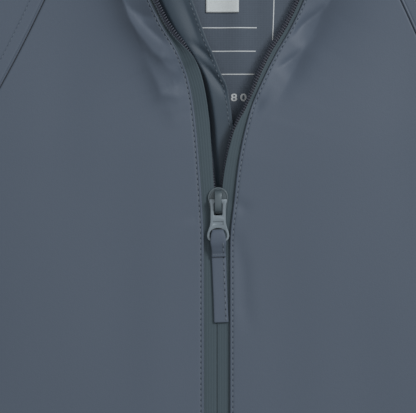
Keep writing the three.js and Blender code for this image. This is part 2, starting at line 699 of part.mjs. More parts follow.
// The waistband is drawn up by its elastic into even gathers
function waistband() {
  const gathers = 22;
  const perGather = 4;
  const gatherHeight = 1.1;
  return clothThrough([waist.top, mix(waist.top, waist.seam, 0.5), waist.seam].map((y) => {
    const top = upperRow(steps(gathers * perGather).map((t) => ({ x: mix(-waist.x, waist.x, t), y })));
    top.forEach((p, i) => {
      const fade = ease(Math.min(i, gathers * perGather - i) / perGather);
      p.at.z += gatherHeight * fade * Math.sin((i / perGather) * 2 * Math.PI);
      p.facing.set(p.facing.x, 0, p.facing.z).normalize();
    });
    const bottom = steps(8).map((t) => ({ x: mix(-waist.x + cornerInset, waist.x - cornerInset, t), y }));
    return [...top, ...lowerRow(bottom.reverse())];
  }), bandWall, true);
}

const sides = [{ side: -1, name: 'right' }, { side: 1, name: 'left' }];
for (const { side, name } of sides) {
  add(`jacket_front_${name}`, front(side), materials.cloth);
  add(`sleeve_front_${name}`, sleeveFront(side), materials.cloth);
  add(`sleeve_back_${name}`, sleeveBack(side), materials.cloth);
  add(`hood_${name}`, hood(side), materials.cloth);
  add(`zip_tape_${name}`, zipTape(side), materials.tape);
  add(`trouser_front_${name}`, legFront(side), materials.cloth);
  add(`trouser_back_${name}`, legBack(side), materials.cloth);
}
add('jacket_back', back(), materials.cloth);
add('zip_guard', zipGuard(), materials.cloth);
add('neck_label', neckLabel(), materials.label);
add('zip_box', zipBox(), materials.metal);
add('zip_slider', sliderBody(), materials.metal);
add('waistband', waistband(), materials.cloth);
add('zip_puller', pullerPlate(), materials.metal, swinging);
add('pull_tab', pullTab(), materials.cloth, swinging);
suit.add(swinging);

export default suit;
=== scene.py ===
import math

import bpy
import numpy as np
from mathutils import Matrix, Vector


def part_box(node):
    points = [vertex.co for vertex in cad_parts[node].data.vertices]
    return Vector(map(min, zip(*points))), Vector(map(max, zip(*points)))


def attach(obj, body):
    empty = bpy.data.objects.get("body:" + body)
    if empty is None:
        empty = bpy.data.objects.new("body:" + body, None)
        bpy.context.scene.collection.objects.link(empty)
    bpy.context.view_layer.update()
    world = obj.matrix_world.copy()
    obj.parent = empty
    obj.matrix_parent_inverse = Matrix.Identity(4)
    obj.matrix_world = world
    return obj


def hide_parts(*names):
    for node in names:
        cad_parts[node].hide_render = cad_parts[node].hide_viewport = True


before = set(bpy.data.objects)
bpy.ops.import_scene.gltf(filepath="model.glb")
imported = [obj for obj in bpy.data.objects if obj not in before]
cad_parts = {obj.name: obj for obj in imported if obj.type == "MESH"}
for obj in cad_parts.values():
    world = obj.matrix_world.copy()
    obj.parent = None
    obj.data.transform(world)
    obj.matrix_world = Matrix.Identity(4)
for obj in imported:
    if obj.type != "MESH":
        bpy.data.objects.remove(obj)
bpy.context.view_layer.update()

bpy.ops.object.select_all(action="DESELECT")
print("frame loaded,", len(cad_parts), "nodes")

# Plan sizes are in millimetres: X across from the zip's line, Y up towards the hood, as in the frame
plan = {"middleY": -319.79, "leanBy": 2.5, "leanFrom": -84.0, "leanOver": 84.0, "halfGap": 0.15}


def clamp(t):
    return np.clip(t, 0.0, 1.0)


def ease(t):
    t = clamp(t)
    return t * t * (3 - 2 * t)


def mix(a, b, t):
    return a + (b - a) * t


def leanAt(y):
    return plan["leanBy"] * ease((y - plan["leanFrom"]) / plan["leanOver"])


def leanedPlaces(points):
    out = np.array(points, float)
    out[..., 0] += leanAt(out[..., 1])
    return out


# Plan millimetres to the frame's metres
def placed(points):
    out = leanedPlaces(points)
    out[..., 1] -= plan["middleY"]
    return out / 1000


# Plan places with a height over each, in the frame's metres
def raised(p, z):
    return placed(np.concatenate([p, np.broadcast_to(z, p.shape[:-1])[..., None]], axis=-1))


# How far along a line each of its points is
def runAlong(line):
    return np.concatenate([[0], np.cumsum(np.linalg.norm(np.diff(line, axis=0), axis=1))])


# A curve in plan with even shares of its length
def bend(start, handle, handle2, end):
    t = np.linspace(0, 1, 401)[:, None]
    a, b, c, d = (np.array(q, float) for q in (start, handle, handle2, end))
    line = (1 - t) ** 3 * a + 3 * (1 - t) ** 2 * t * b + 3 * (1 - t) * t ** 2 * c + t ** 3 * d
    run = runAlong(line)
    run /= run[-1]
    return lambda share: np.stack([np.interp(share, run, line[:, k]) for k in (0, 1)], axis=-1)


# A table's column at a level, smooth and without overshoot
def tableAt(rows, column, y):
    rows = np.array(rows, float)
    ys, vs = rows[:, 0], rows[:, column]
    steep = np.diff(vs) / np.diff(ys)
    inner = np.where(steep[:-1] * steep[1:] > 0,
                     2 * steep[:-1] * steep[1:] / (steep[:-1] + steep[1:] + 1e-12), 0)
    slopes = np.concatenate([[steep[0]], inner, [steep[-1]]])
    y = np.asarray(y, float)
    k = np.clip(np.searchsorted(ys, y) - 1, 0, len(ys) - 2)
    h = ys[k + 1] - ys[k]
    t = clamp((y - ys[k]) / h)
    return (vs[k] * (1 + 2 * t) * (1 - t) ** 2 + slopes[k] * h * t * (1 - t) ** 2
            + vs[k + 1] * t ** 2 * (3 - 2 * t) + slopes[k + 1] * h * t ** 2 * (t - 1))


# The same for a table with a column for the wearer's right and one for the left
def sideTable(rows, side, y):
    return tableAt(rows, 1 if side < 0 else 2, y)


# Distance to one straight run, how far along it, and on which side
def nearRun(p, a, b):
    a, b = np.array(a, float), np.array(b, float)
    d = b - a
    t = clamp(((p - a) @ d) / (d @ d))
    off = p - a - t[..., None] * d
    side = np.sign(d[0] * off[..., 1] - d[1] * off[..., 0])
    return np.linalg.norm(off, axis=-1), t, side


# Distance to a line of straight runs, on which side of it, and how many runs along it
def nearLine(p, points):
    best = np.full(p.shape[:-1], 1e9)
    hand, along = np.ones(best.shape), np.zeros(best.shape)
    for k in range(len(points) - 1):
        apart, t, side = nearRun(p, points[k], points[k + 1])
        closer = apart < best
        best, hand = np.where(closer, apart, best), np.where(closer, side, hand)
        along = np.where(closer, k + t, along)
    return best, hand, along


def leastDistance(p, lines):
    least = np.full(p.shape[:-1], 1e9)
    for line in lines:
        for a, b in zip(line[:-1], line[1:]):
            least = np.minimum(least, nearRun(p, a, b)[0])
    return least


# The same places on the side of positive X
def onLeft(p):
    return np.stack([np.abs(p[..., 0]), p[..., 1]], axis=-1)


# The outline in plan, for the side of positive X
outline = {
    "jacketHem": (180, -366), "underarm": (168, -120), "neckPoint": (63.5, 34),
    "shoulderFold": (78, 54), "cuffOuter": (338, -226), "cuffInner": (266, -276),
    "hoodTop": (0.15, 240), "hoodRimTop": (0.15, 196), "backNeckY": 26, "hoodSeamEndY": 206,
    "zipTopY": 14, "zipBottomY": -366, "tapeBottomY": -356,
    "waistX": 126, "waistTop": -382, "waistSeam": -410, "crotchY": -590,
    "legInner": (54, -880), "legOuter": (170, -880), "legHemY": -880,
}
sideSeam = bend(outline["jacketHem"], (177, -290), (170, -190), outline["underarm"])
raglan = bend(outline["neckPoint"], (93, -20), (112, -90), outline["underarm"])
overarm = bend(outline["shoulderFold"], (168, 14), (262, -120), outline["cuffOuter"])
undersleeve = bend(outline["underarm"], (196, -150), (232, -228), outline["cuffInner"])
hoodFold = bend(outline["shoulderFold"], (130, 122), (116, 240), outline["hoodTop"])
legOutside = bend((outline["waistX"], outline["waistSeam"]), (158, -520), (150, -640), outline["legOuter"])
legInside = bend((plan["halfGap"], outline["crotchY"]), (8, -640), (42, -780), outline["legInner"])
foldLines = [curve(np.linspace(0, 1, 21)) for curve in
             (sideSeam, overarm, undersleeve, hoodFold, legOutside, legInside)]
raglanLine = raglan(np.linspace(0, 1, 61))

# How far each front's edge stands from the zip's line: level, wearer's right, wearer's left
zipEdges = [
    (-400, 5.8, 5.8), (-110, 5.9, 5.7), (-90, 6.8, 7.6), (-70, 8.4, 9.9), (-50, 11.1, 13.9),
    (-36, 14.3, 19.0), (-24, 19.5, 24.5), (-12, 27.2, 31.1), (0, 33.2, 36.6), (20, 41.5, 44.0),
]

# How high the upper layer stands, with the cloth turned over at an edge
form = {
    "edge": 0.95, "body": 16, "hood": 14, "sleeve": 13, "trousers": 14, "fold": 34,
    "hemDrop": 5, "hemReach": 60, "cuffDrop": 4, "cuffReach": 55, "neckDrop": 2.5,
    "neckReach": 70, "legDrop": 4,
}

# Large folds away from the neck: from, to, width and depth, fading along their length
largeFolds = [
    (168, -120, 118, -168, 11, 3.0), (-168, -120, -112, -160, 11, 3.2),
    (172, -118, 196, -66, 10, 3.0), (-172, -118, -192, -60, 10, 3.2),
    (226, -196, 268, -158, 9, 3.0), (-222, -188, -262, -146, 9, 2.8),
    (-250, -226, -286, -204, 8, 2.2), (84, -366, 70, -290, 12, 2.6),
    (-120, -366, -104, -276, 13, 2.8), (92, 84, 66, 120, 8, 2.6), (-94, 90, -64, 132, 8, 2.4),
    (60, 222, 34, 200, 8, 2.2), (4, -592, 74, -540, 11, 3.2), (-4, -592, -80, -548, 11, 3.0),
    (66, -716, 132, -700, 12, 2.6), (-60, -706, -124, -722, 12, 2.8),
    (96, -800, 150, -780, 11, 2.0), (-118, -812, -68, -796, 11, 2.0),
]

# Creases: points in plan after the lean, width on the left and right of the way along,
# depth at each point, and how crisp the bottom is
creases = [
    # the wearer's right of the neck: the cloth stands up towards the zip, with a crease in its flank
    ([(-39, 20), (-30.7, 0), (-24.8, -12), (-17.5, -24), (-12.8, -36), (-10.2, -50)], 14, 14,
     [-10.5, -9.4, -7.4, -4.4, -1.6, 0], 1.1),
    ([(-45.5, 14), (-42.3, 0), (-39.1, -9), (-35.5, -14.8), (-30.1, -21.6), (-25.6, -26.5),
      (-22, -30.6), (-17.5, -33.8), (-15.7, -34.6)], 24.0, 4.6,
     [-3.4, -3.4, -3.4, -3.2, -2.8, -2.4, -1.8, -1.0, 0], 1.15),
    ([(-40.6, -1.5), (-38.2, -4.6), (-33.0, -7.7), (-28.6, -8.2)], 6.0, 2.4, [0.5, 1.2, 1.5, 1.0], 1.4),
    ([(-35.5, -8), (-32.6, -10.8), (-29.2, -14.2), (-24.4, -18.5), (-21.5, -20.6)], 5.0, 2.0,
     [0.4, 1.0, 1.3, 1.1, 0.3], 1.4),
    ([(-28.4, -24.6), (-25.3, -25.8), (-20.1, -27.1)], 4.5, 1.3, [-0.3, -0.9, -0.3], 1.2),
    ([(-33, -24.1), (-30.5, -30.2), (-27, -36.6), (-25, -42.2), (-18.4, -43.4), (-13.5, -42)], 9.0, 3.6,
     [-0.3, -1.2, -1.8, -1.9, -1.2, -0.2], 1.35),
    ([(-22.6, -46), (-20.6, -50), (-18.4, -58.5)], 6.0, 4.0, [-0.2, -0.7, 0], 1.6),
    # the wearer's left: the cloth falls towards the zip
    ([(46.5, 20), (39.1, 0), (33.5, -12), (26.5, -24), (20.5, -36), (14.8, -50), (11, -70)], 22, 22,
     [7.0, 6.2, 5.0, 3.6, 2.0, 0.9, 0], 1.7),
    ([(54.6, 6), (49.7, -2.4), (45.9, -5.5), (42.9, -7.4), (39.3, -10.3), (35.6, -14.2), (33.0, -17)],
     10.0, 2.4, [1.4, 2.0, 2.3, 2.4, 2.2, 1.3, 0.2], 1.4),
    ([(50, 8), (46.5, -8), (44.0, -13.6), (37.8, -25), (33.8, -33.4), (30.2, -40.0), (26.6, -46.3)], 4.2, 9.0,
     [0.8, 1.3, 1.5, 1.6, 1.4, 1.0, 0.2], 1.5),
    ([(40.5, -19.9), (37.4, -23.6), (33.7, -26.3), (30.6, -28.6), (27.0, -31)], 7.0, 2.0,
     [0.4, 1.2, 1.8, 1.6, 0.3], 1.4),
    ([(36.4, -9), (35.2, -13.6), (31.5, -17)], 1.8, 3.4, [-0.6, -0.8, -0.1], 1.3),
    ([(21.5, -43), (18.4, -46.5), (16, -52)], 2.4, 3.4, [0.3, 1.0, 0.1], 2.0),
    # dimples beside the slider and the tab
    ([(8.5, -91), (12.0, -93.5), (15.5, -93)], 2.6, 2.6, [0.35, 0.55, 0.1], 2.0),
    ([(9.0, -108), (11.5, -120), (12.5, -138), (15, -150)], 3.0, 3.4, [0.3, 0.65, 0.6, 0.1], 2.0),
    ([(-7.6, -95), (-10.0, -98), (-14, -99)], 2.4, 2.4, [0.35, 0.4, 0.1], 2.0),
    # underarms and elbows
    ([(150, -92), (120, -104), (96, -128)], 7, 8, [1.4, 1.6, 0.2], 1.8),
    ([(-150, -94), (-126, -108), (-104, -138)], 8, 7, [1.4, 1.5, 0.2], 1.8),
    ([(176, -126), (212, -112), (236, -92)], 6, 8, [1.8, 1.5, 0.2], 1.7),
    ([(-178, -128), (-206, -116), (-232, -84)], 8, 6, [1.8, 1.4, 0.2], 1.7),
    ([(228, -214), (252, -206), (284, -186)], 5, 7, [1.6, 1.4, 0.2], 1.6),
    ([(-226, -208), (-250, -196), (-272, -172)], 7, 5, [1.5, 1.4, 0.2], 1.6),
    ([(196, -40), (222, -66), (256, -84)], 9, 8, [0.3, 1.2, 0.2], 2.0),
    ([(-190, -36), (-224, -62), (-248, -92)], 9, 9, [0.3, 1.2, 0.2], 2.0),
    # jacket hem and sides
    ([(176, -300), (148, -284), (118, -290)], 8, 9, [1.4, 1.2, 0.1], 2.0),
    ([(-176, -310), (-150, -292), (-116, -286)], 9, 8, [1.4, 1.2, 0.1], 2.0),
    ([(22, -360), (26, -318), (20, -270)], 9, 11, [1.0, 1.0, 0.1], 2.0),
    ([(-28, -362), (-34, -322), (-26, -262)], 11, 9, [1.0, 1.1, 0.1], 2.0),
    ([(124, -362), (118, -326), (124, -296)], 7, 7, [1.5, 1.0, 0.1], 2.0),
    # hood
    ([(112, 120), (92, 142), (84, 176)], 7, 9, [1.6, 1.4, 0.2], 1.8),
    ([(-110, 128), (-90, 146), (-80, 178)], 9, 7, [1.5, 1.4, 0.2], 1.8),
    ([(74, 56), (66, 74), (58, 84)], 4, 5, [1.6, 1.2, 0.2], 1.6),
    ([(-74, 58), (-64, 72), (-56, 86)], 5, 4, [1.6, 1.2, 0.2], 1.6),
    # trousers: crotch, hips, knees and hems
    ([(2, -560), (38, -540), (70, -500)], 8, 9, [2.0, 1.4, 0.2], 1.8),
    ([(-2, -566), (-34, -546), (-72, -512)], 9, 8, [2.0, 1.4, 0.2], 1.8),
    ([(8, -640), (44, -636), (86, -606)], 8, 8, [1.4, 1.6, 0.2], 1.9),
    ([(-10, -644), (-48, -632), (-92, -612)], 8, 8, [1.4, 1.6, 0.2], 1.9),
    ([(34, -752), (78, -742), (134, -756)], 9, 8, [1.2, 1.6, 0.3], 1.9),
    ([(-36, -748), (-84, -758), (-138, -744)], 8, 9, [1.2, 1.6, 0.3], 1.9),
    ([(58, -846), (96, -838), (142, -850)], 7, 7, [0.8, 1.2, 0.2], 2.0),
    ([(-60, -840), (-102, -850), (-148, -838)], 7, 7, [0.8, 1.2, 0.2], 2.0),
]

# Broad, shallow swells in the laid cloth: middle, reach across and along, and height
swells = [
    (-70, -46, 13, 44, -0.5), (-88, -120, 26, 60, 0.7), (-44, -110, 16, 70, -0.35),
    (-28, -150, 10, 60, 0.3), (52, -96, 22, 60, 0.4), (84, -60, 14, 52, -0.45),
    (92, -150, 20, 60, 0.5), (30, -160, 12, 60, -0.35), (64, -170, 12, 44, -0.3),
    (-104, -10, 14, 26, 0.4), (-40, -230, 30, 60, 0.8), (60, -260, 34, 60, -0.7),
    (120, -220, 24, 70, 0.7), (-126, -220, 26, 60, -0.6), (0, -330, 60, 30, 0.5),
    (90, -480, 26, 60, 0.8), (-90, -470, 28, 60, -0.7), (100, -660, 22, 60, 0.8),
    (-96, -670, 24, 60, 0.7), (110, -820, 26, 40, -0.5), (-112, -790, 24, 44, 0.6),
    (240, -110, 34, 26, 0.7), (-240, -104, 30, 28, 0.6), (86, 176, 20, 40, 0.7),
    (-84, 182, 20, 36, 0.6),
]


def fullLoft(p):
    side, y = np.abs(p[..., 0]), p[..., 1]

    def nearHem(level):
        return ease((level + form["hemReach"] - y) / form["hemReach"])

    legs = form["trousers"] - form["legDrop"] * nearHem(outline["legHemY"])
    body = mix(form["body"], form["sleeve"], ease((side - 110) / 90))
    upper = mix(body, form["hood"], ease((y + 10) / 60))
    hem = form["hemDrop"] * nearHem(outline["jacketHem"][1])
    toCuff = nearRun(onLeft(p), outline["cuffOuter"], outline["cuffInner"])[0]
    neck = form["neckDrop"] * ease((y + form["neckReach"]) / form["neckReach"])
    end = form["cuffDrop"] * ease(1 - toCuff / form["cuffReach"])
    jacket = upper - hem * ease((200 - side) / 20) - end - neck
    return np.where(y < (outline["jacketHem"][1] + outline["waistTop"]) / 2, legs, jacket)


def creaseDepth(p):
    leaned = leanedPlaces(p)
    total = np.zeros(p.shape[:-1])
    for points, leftWide, rightWide, depths, crisp in creases:
        apart, hand, along = nearLine(leaned, points)
        wide = np.where(hand > 0, leftWide, rightWide)
        total += np.interp(along, np.arange(len(depths)), depths) * np.exp(-(apart / wide) ** crisp)
    return total


def swellHeight(p, rows):
    total = np.zeros(p.shape[:-1])
    for x, y, across, along, high in rows:
        total += high * np.exp(-((p[..., 0] - x) / across) ** 2 - ((p[..., 1] - y) / along) ** 2)
    return total


def largeDepth(p):
    total = np.zeros(p.shape[:-1])
    for x1, y1, x2, y2, wide, deep in largeFolds:
        apart, t, _ = nearRun(p, (x1, y1), (x2, y2))
        total += deep * (1 - 0.75 * t) * np.exp(-(apart / wide) ** 2)
    return total - swellHeight(p, swells)


# The height of the upper layer's outer face over places in plan
def heightAt(p):
    r = clamp(leastDistance(onLeft(p), foldLines) / form["fold"])
    arch = np.sqrt(r * (2 - r))
    hollow = (largeDepth(p) + creaseDepth(p)) * np.minimum(1, arch * 1.2)
    return form["edge"] + (fullLoft(p) - form["edge"]) * arch - hollow


# Materials

def objectPlace(nodes, links, scale=(1, 1, 1)):
    where = nodes.new("ShaderNodeTexCoord")
    mapping = nodes.new("ShaderNodeMapping")
    mapping.inputs["Scale"].default_value = scale
    links.new(where.outputs["Object"], mapping.inputs["Vector"])
    return mapping.outputs["Vector"]


def alongCloth(nodes):
    where = nodes.new("ShaderNodeUVMap")
    where.uv_map = "run"
    return where.outputs["UV"]


def noise(nodes, links, vector, scale, detail=2.0):
    made = nodes.new("ShaderNodeTexNoise")
    made.inputs["Scale"].default_value = scale
    made.inputs["Detail"].default_value = detail
    links.new(vector, made.inputs["Vector"])
    return made.outputs["Fac"]


def ribs(nodes, links, vector, pitch, direction):
    made = nodes.new("ShaderNodeTexWave")
    made.bands_direction = direction
    made.inputs["Scale"].default_value = 2 * math.pi / 20 / pitch
    links.new(vector, made.inputs["Vector"])
    return made.outputs["Fac"]


# The colour between two, by one or more patterns in turn
def blendColour(nodes, links, shader, base, layers):
    last = None
    for factor, colour, strength in layers:
        step = nodes.new("ShaderNodeMix")
        step.data_type = "RGBA"
        scaled = nodes.new("ShaderNodeMath")
        scaled.operation = "MULTIPLY"
        scaled.inputs[1].default_value = strength
        links.new(factor, scaled.inputs[0])
        links.new(scaled.outputs[0], step.inputs["Factor"])
        if last is None:
            step.inputs["A"].default_value = (*base, 1)
        else:
            links.new(last, step.inputs["A"])
        step.inputs["B"].default_value = (*colour, 1)
        last = step.outputs["Result"]
    links.new(last, shader.inputs["Base Color"])


def addBump(nodes, links, shader, layers):
    before = None
    for height, strength, distance in layers:
        bump = nodes.new("ShaderNodeBump")
        bump.inputs["Strength"].default_value = strength
        bump.inputs["Distance"].default_value = distance
        links.new(height, bump.inputs["Height"])
        if before is not None:
            links.new(before, bump.inputs["Normal"])
        before = bump.outputs["Normal"]
    links.new(before, shader.inputs["Normal"])


# Each look: surface, patterns, base colour, the colours that patterns blend in and the bumps they raise.
# A pattern is noise of a scale and detail, or ribs of a pitch and a direction
coat = {
    # matt coating over a knit: a fine pebble, faint clouds and a soft sheen
    "surface": {"Roughness": 0.56, "Specular IOR Level": 0.42, "Sheen Weight": 0.12, "Sheen Roughness": 0.6},
    "patterns": {"clouds": ("noise", 16, 3), "grain": ("noise", 1 / 0.0009, 2), "pebble": ("noise", 2000, 1)},
    "base": (0.075, 0.103, 0.146),
    "colours": [("clouds", (0.083, 0.112, 0.156), 0.7), ("grain", (0.064, 0.090, 0.129), 0.4)],
    "bumps": [("pebble", 0.22, 0.00012), ("grain", 0.15, 0.00016)],
}
knit = {
    # the cloth's knitted back, which shows inside the neck, hood, cuffs and hems
    "surface": {"Roughness": 0.9, "Specular IOR Level": 0.2, "Sheen Weight": 0.2},
    "patterns": {"wales": ("ribs", 0.0007, "X"), "courses": ("ribs", 0.00084, "Y"),
                 "fuzz": ("noise", 700, 2)},
    "base": (0.098, 0.124, 0.160),
    "colours": [("wales", (0.068, 0.088, 0.116), 0.3), ("fuzz", (0.068, 0.088, 0.116), 0.45)],
    "bumps": [("wales", 0.35, 0.0001), ("courses", 0.3, 0.0001)],
}
tapeWeave = {
    # ribs along the zip's tape
    "surface": {"Roughness": 0.72, "Specular IOR Level": 0.35, "Sheen Weight": 0.15},
    "patterns": {"ribs": ("run", 0.00115, "X"), "picks": ("run", 0.0004, "Y"), "fuzz": ("noise", 900, 2)},
    "base": (0.064, 0.096, 0.117),
    "colours": [("ribs", (0.046, 0.071, 0.087), 0.45), ("fuzz", (0.046, 0.071, 0.087), 0.4)],
    "bumps": [("ribs", 0.4, 0.00012), ("picks", 0.3, 0.00006)],
}
coilPlastic = {
    "surface": {"Roughness": 0.42, "Specular IOR Level": 0.5},
    "patterns": {"fleck": ("noise", 1500, 2)}, "base": (0.052, 0.060, 0.085),
    "colours": [("fleck", (0.095, 0.105, 0.140), 0.6)], "bumps": [("fleck", 0.1, 0.00005)],
}
labelWeave = {
    "surface": {"Roughness": 0.8, "Specular IOR Level": 0.3},
    "patterns": {"warp": ("ribs", 0.00045, "X"), "weft": ("ribs", 0.0004, "Y"), "fuzz": ("noise", 800, 2)},
    "base": (0.60, 0.64, 0.65),
    "colours": [("warp", (0.46, 0.50, 0.52), 0.35), ("fuzz", (0.42, 0.46, 0.48), 0.3)],
    "bumps": [("warp", 0.3, 0.00008), ("weft", 0.3, 0.00008)],
}
printInk = {
    "surface": {"Roughness": 0.75, "Specular IOR Level": 0.3},
    "patterns": {"wear": ("noise", 1200, 3)}, "base": (0.66, 0.70, 0.72),
    "colours": [("wear", (0.40, 0.43, 0.46), 0.45)], "bumps": [("wear", 0.15, 0.00005)],
}
paleFloor = {
    "surface": {"Roughness": 0.8, "Specular IOR Level": 0.2},
    "patterns": {"soft": ("noise", 6, 2)}, "base": (0.62, 0.62, 0.61),
    "colours": [("soft", (0.58, 0.58, 0.57), 0.4)], "bumps": [],
}


def patterned(name, look, tone=(1, 1, 1)):
    material = bpy.data.materials.new(name)
    material.use_nodes = True
    nodes, links = material.node_tree.nodes, material.node_tree.links
    shader = nodes["Principled BSDF"]
    for key, value in look["surface"].items():
        shader.inputs[key].default_value = value
    place = objectPlace(nodes, links, look.get("stretch", (1, 1, 1)))
    made = {}
    for key, (kind, size, how) in look["patterns"].items():
        pattern = noise if kind == "noise" else ribs
        made[key] = pattern(nodes, links, alongCloth(nodes) if kind == "run" else place, size, how)
    # tone scales every colour of the look; for the guard it paints shade into the cloth
    layers = [(made[key], np.multiply(colour, tone), strength) for key, colour, strength in look["colours"]]
    blendColour(nodes, links, shader, np.multiply(look["base"], tone), layers)
    if look["bumps"]:
        addBump(nodes, links, shader, [(made[key], *values) for key, *values in look["bumps"]])
    return material


# Enamel on cast zinc: nearly even, a little worn to lighter specks
def enamel(name, colour, worn, roughness):
    return patterned(name, {
        "surface": {"Roughness": roughness, "Specular IOR Level": 0.5, "Metallic": 0.25,
                    "Coat Weight": 0.25, "Coat Roughness": 0.3},
        "patterns": {"specks": ("noise", 700, 3), "flow": ("noise", 220, 2)}, "base": colour,
        "colours": [("specks", worn, 0.3), ("flow", worn, 0.2)], "bumps": [("specks", 0.12, 0.00008)]})


def threadFinish(name, colour, twist):
    return patterned(name, {
        "surface": {"Roughness": 0.7, "Specular IOR Level": 0.3}, "stretch": (1, 0.5, 1),
        "patterns": {"strand": ("noise", 2600, 1)}, "base": colour,
        "colours": [("strand", twist, 0.7)], "bumps": [("strand", 0.3, 0.00006)]})


cloth = patterned("coatedCloth", coat)
# The guard's cloth is the shell cloth made darker and a little greener: the darkening is painted shade, for
# the guard lying low in the open neck
guardPaintedShadeCloth = patterned("guardPaintedShadeCloth", coat, (0.56, 0.66, 0.66))
lining = patterned("liningKnit", knit)
tapeCloth = patterned("wovenTape", tapeWeave)
sliderMetal = enamel("sliderEnamel", (0.066, 0.095, 0.113), (0.12, 0.155, 0.175), 0.4)
pullerMetal = enamel("pullerEnamel", (0.158, 0.203, 0.238), (0.24, 0.285, 0.315), 0.38)
coilStuff = patterned("coilPlastic", coilPlastic)
thread = threadFinish("thread", (0.175, 0.211, 0.252), (0.120, 0.148, 0.180))
# Needle holes are near-black dots: painted shade for the dark inside of each hole
needleHoleShade = threadFinish("needleHoleShade", (0.026, 0.034, 0.046), (0.018, 0.024, 0.033))
labelCloth = patterned("labelWeave", labelWeave)
ink = patterned("printInk", printInk)
print("materials made")


# Cloth as thin walls between an outer and an inner grid

def gridNormals(points, closed=False):
    if closed:
        ring = np.concatenate([points[:, -1:], points, points[:, :1]], axis=1)
        across = ring[:, 2:] - ring[:, :-2]
    else:
        across = np.gradient(points, axis=1)
    normals = np.cross(across, np.gradient(points, axis=0))
    return normals / (np.linalg.norm(normals, axis=-1, keepdims=True) + 1e-15)


def makeObject(name, verts, faces, materials, slots=None, uv=None):
    mesh = bpy.data.meshes.new(name)
    mesh.from_pydata(verts.tolist(), [], faces if isinstance(faces, list) else faces.tolist())
    mesh.polygons.foreach_set("use_smooth", np.ones(len(faces), bool))
    for material in materials:
        mesh.materials.append(material)
    if slots is not None:
        mesh.polygons.foreach_set("material_index", np.asarray(slots, np.int32))
    if uv is not None:
        layer = mesh.uv_layers.new(name="run")
        corners = np.zeros(len(mesh.loops), np.int32)
        mesh.loops.foreach_get("vertex_index", corners)
        layer.data.foreach_set("uv", uv[corners].ravel())
    mesh.update()
    made = bpy.data.objects.new(name, mesh)
    bpy.context.scene.collection.objects.link(made)
    return made


def quads(grid):
    parts = (grid[:-1, :-1], grid[:-1, 1:], grid[1:, 1:], grid[1:, :-1])
    return np.stack([part.ravel() for part in parts], axis=-1)


clothMade = {"wall": 0.7, "zipHem": 1.25, "back": 0.7}
bothFaces = (cloth, lining)


# Joins two grids into a closed wall. faceUp says which way the outer grid looks at its first columns
def clothBetween(name, outer, inner, faceUp, materials, closed=False):
    rows, cols = outer.shape[:2]
    count = rows * cols
    grid = np.arange(count).reshape(rows, cols)
    if closed:
        grid = np.hstack([grid, grid[:, :1]])
    shell = quads(grid)

    def strip(p, q):
        return np.stack([q, p, p + count, q + count], axis=-1)

    edges = [strip(grid[0, :-1], grid[0, 1:]), strip(grid[-1, 1:], grid[-1, :-1])]
    if not closed:
        edges += [strip(grid[1:, 0], grid[:-1, 0]), strip(grid[:-1, -1], grid[1:, -1])]
    faces = np.concatenate([shell, shell[:, ::-1] + count, *edges])
    if not looksUp(outer, closed) == (faceUp > 0):
        faces = faces[:, ::-1]
    slots = np.concatenate([np.zeros(len(shell), int), np.full(len(shell), min(1, len(materials) - 1)),
                            np.zeros(sum(len(e) for e in edges), int)])
    u = np.cumsum(np.linalg.norm(np.diff(outer, axis=1, prepend=outer[:, :1]), axis=-1), axis=1)
    v = np.cumsum(np.linalg.norm(np.diff(outer, axis=0, prepend=outer[:1]), axis=-1), axis=0)
    uv = np.stack([u, np.broadcast_to(v[:, cols // 2:cols // 2 + 1], u.shape)], axis=-1).reshape(-1, 2)
    verts = np.concatenate([outer.reshape(-1, 3), inner.reshape(-1, 3)])
    return makeObject(name, verts, faces, materials, slots, np.concatenate([uv, uv]))


def looksUp(outer, closed=False):
    cols = outer.shape[1]
    start = gridNormals(outer, closed)[:, cols // 10:max(cols // 10 + 1, cols // 3), 2]
    return float(np.mean(start)) > 0


# A wall of even or stated thickness in from the outer grid
def clothOver(name, outer, wall=clothMade["wall"], materials=bothFaces, closed=False):
    sign = 1 if looksUp(outer, closed) else -1
    wall = np.broadcast_to(np.asarray(wall, float), outer.shape[:2])[..., None] / 1000
    inner = outer - sign * gridNormals(outer, closed) * wall
    return clothBetween(name, outer, inner, 1, materials, closed)


# A panel that lies on the floor, with its lining upwards
def lowerPanel(name, p, top):
    return clothBetween(name, raised(p, 0.0), raised(p, top), -1, bothFaces)


def finer(values, places, offsets=(-1.5, -0.9, -0.4, 0, 0.4, 0.9, 1.5), unit=1.0):
    extra = [place + offset * unit for place in places for offset in offsets]
    low, high = min(values), max(values)
    return np.unique(np.round(np.concatenate([values, [e for e in extra if low < e < high]]), 6))


# A sewn line pressed into the cloth at a distance
def groove(distance, at, wide=0.32, deep=0.2):
    return -deep * np.exp(-((distance - at) / wide) ** 2)


def rolled(distance, by=0.45, reach=0.45):
    return -by * clamp(1 - distance / reach) ** 2


# Jacket fronts

frontMade = {
    "nearZip": [0, 0.12, 0.28, 0.48, 0.72, 0.98, 1.2, 1.4, 1.6, 1.84, 2.2, 2.8, 3.6, 4.6],
    "nearSeam": [2.6, 1.8, 1.2, 0.8, 0.5, 0.25, 0],
    "middleColumns": 88, "stitchAt": 1.4, "hemStitch": 17.0, "underarmShare": 0.6,
}
zipLong = outline["zipTopY"] - outline["zipBottomY"]


def zipEdge(side, y):
    y = np.asarray(y, float)
    return np.stack([side * sideTable(zipEdges, side, y), y], axis=-1)


def bodyEdge(share):
    share = np.asarray(share, float)
    under = frontMade["underarmShare"]
    low = sideSeam(clamp(share / under))
    high = raglan(clamp((1 - share) / (1 - under)))
    return np.where((share < under)[..., None], low, high)


# Plan places on a front at distances from the zip's edge, row by row
def frontPlaces(side, shares, distances):
    inside = zipEdge(side, outline["zipBottomY"] + shares * zipLong)
    outside = bodyEdge(shares) * np.array([side, 1])
    long = np.linalg.norm(outside - inside, axis=-1)
    t = distances / long[:, None]
    return inside[:, None] + (outside - inside)[:, None] * t[..., None], long


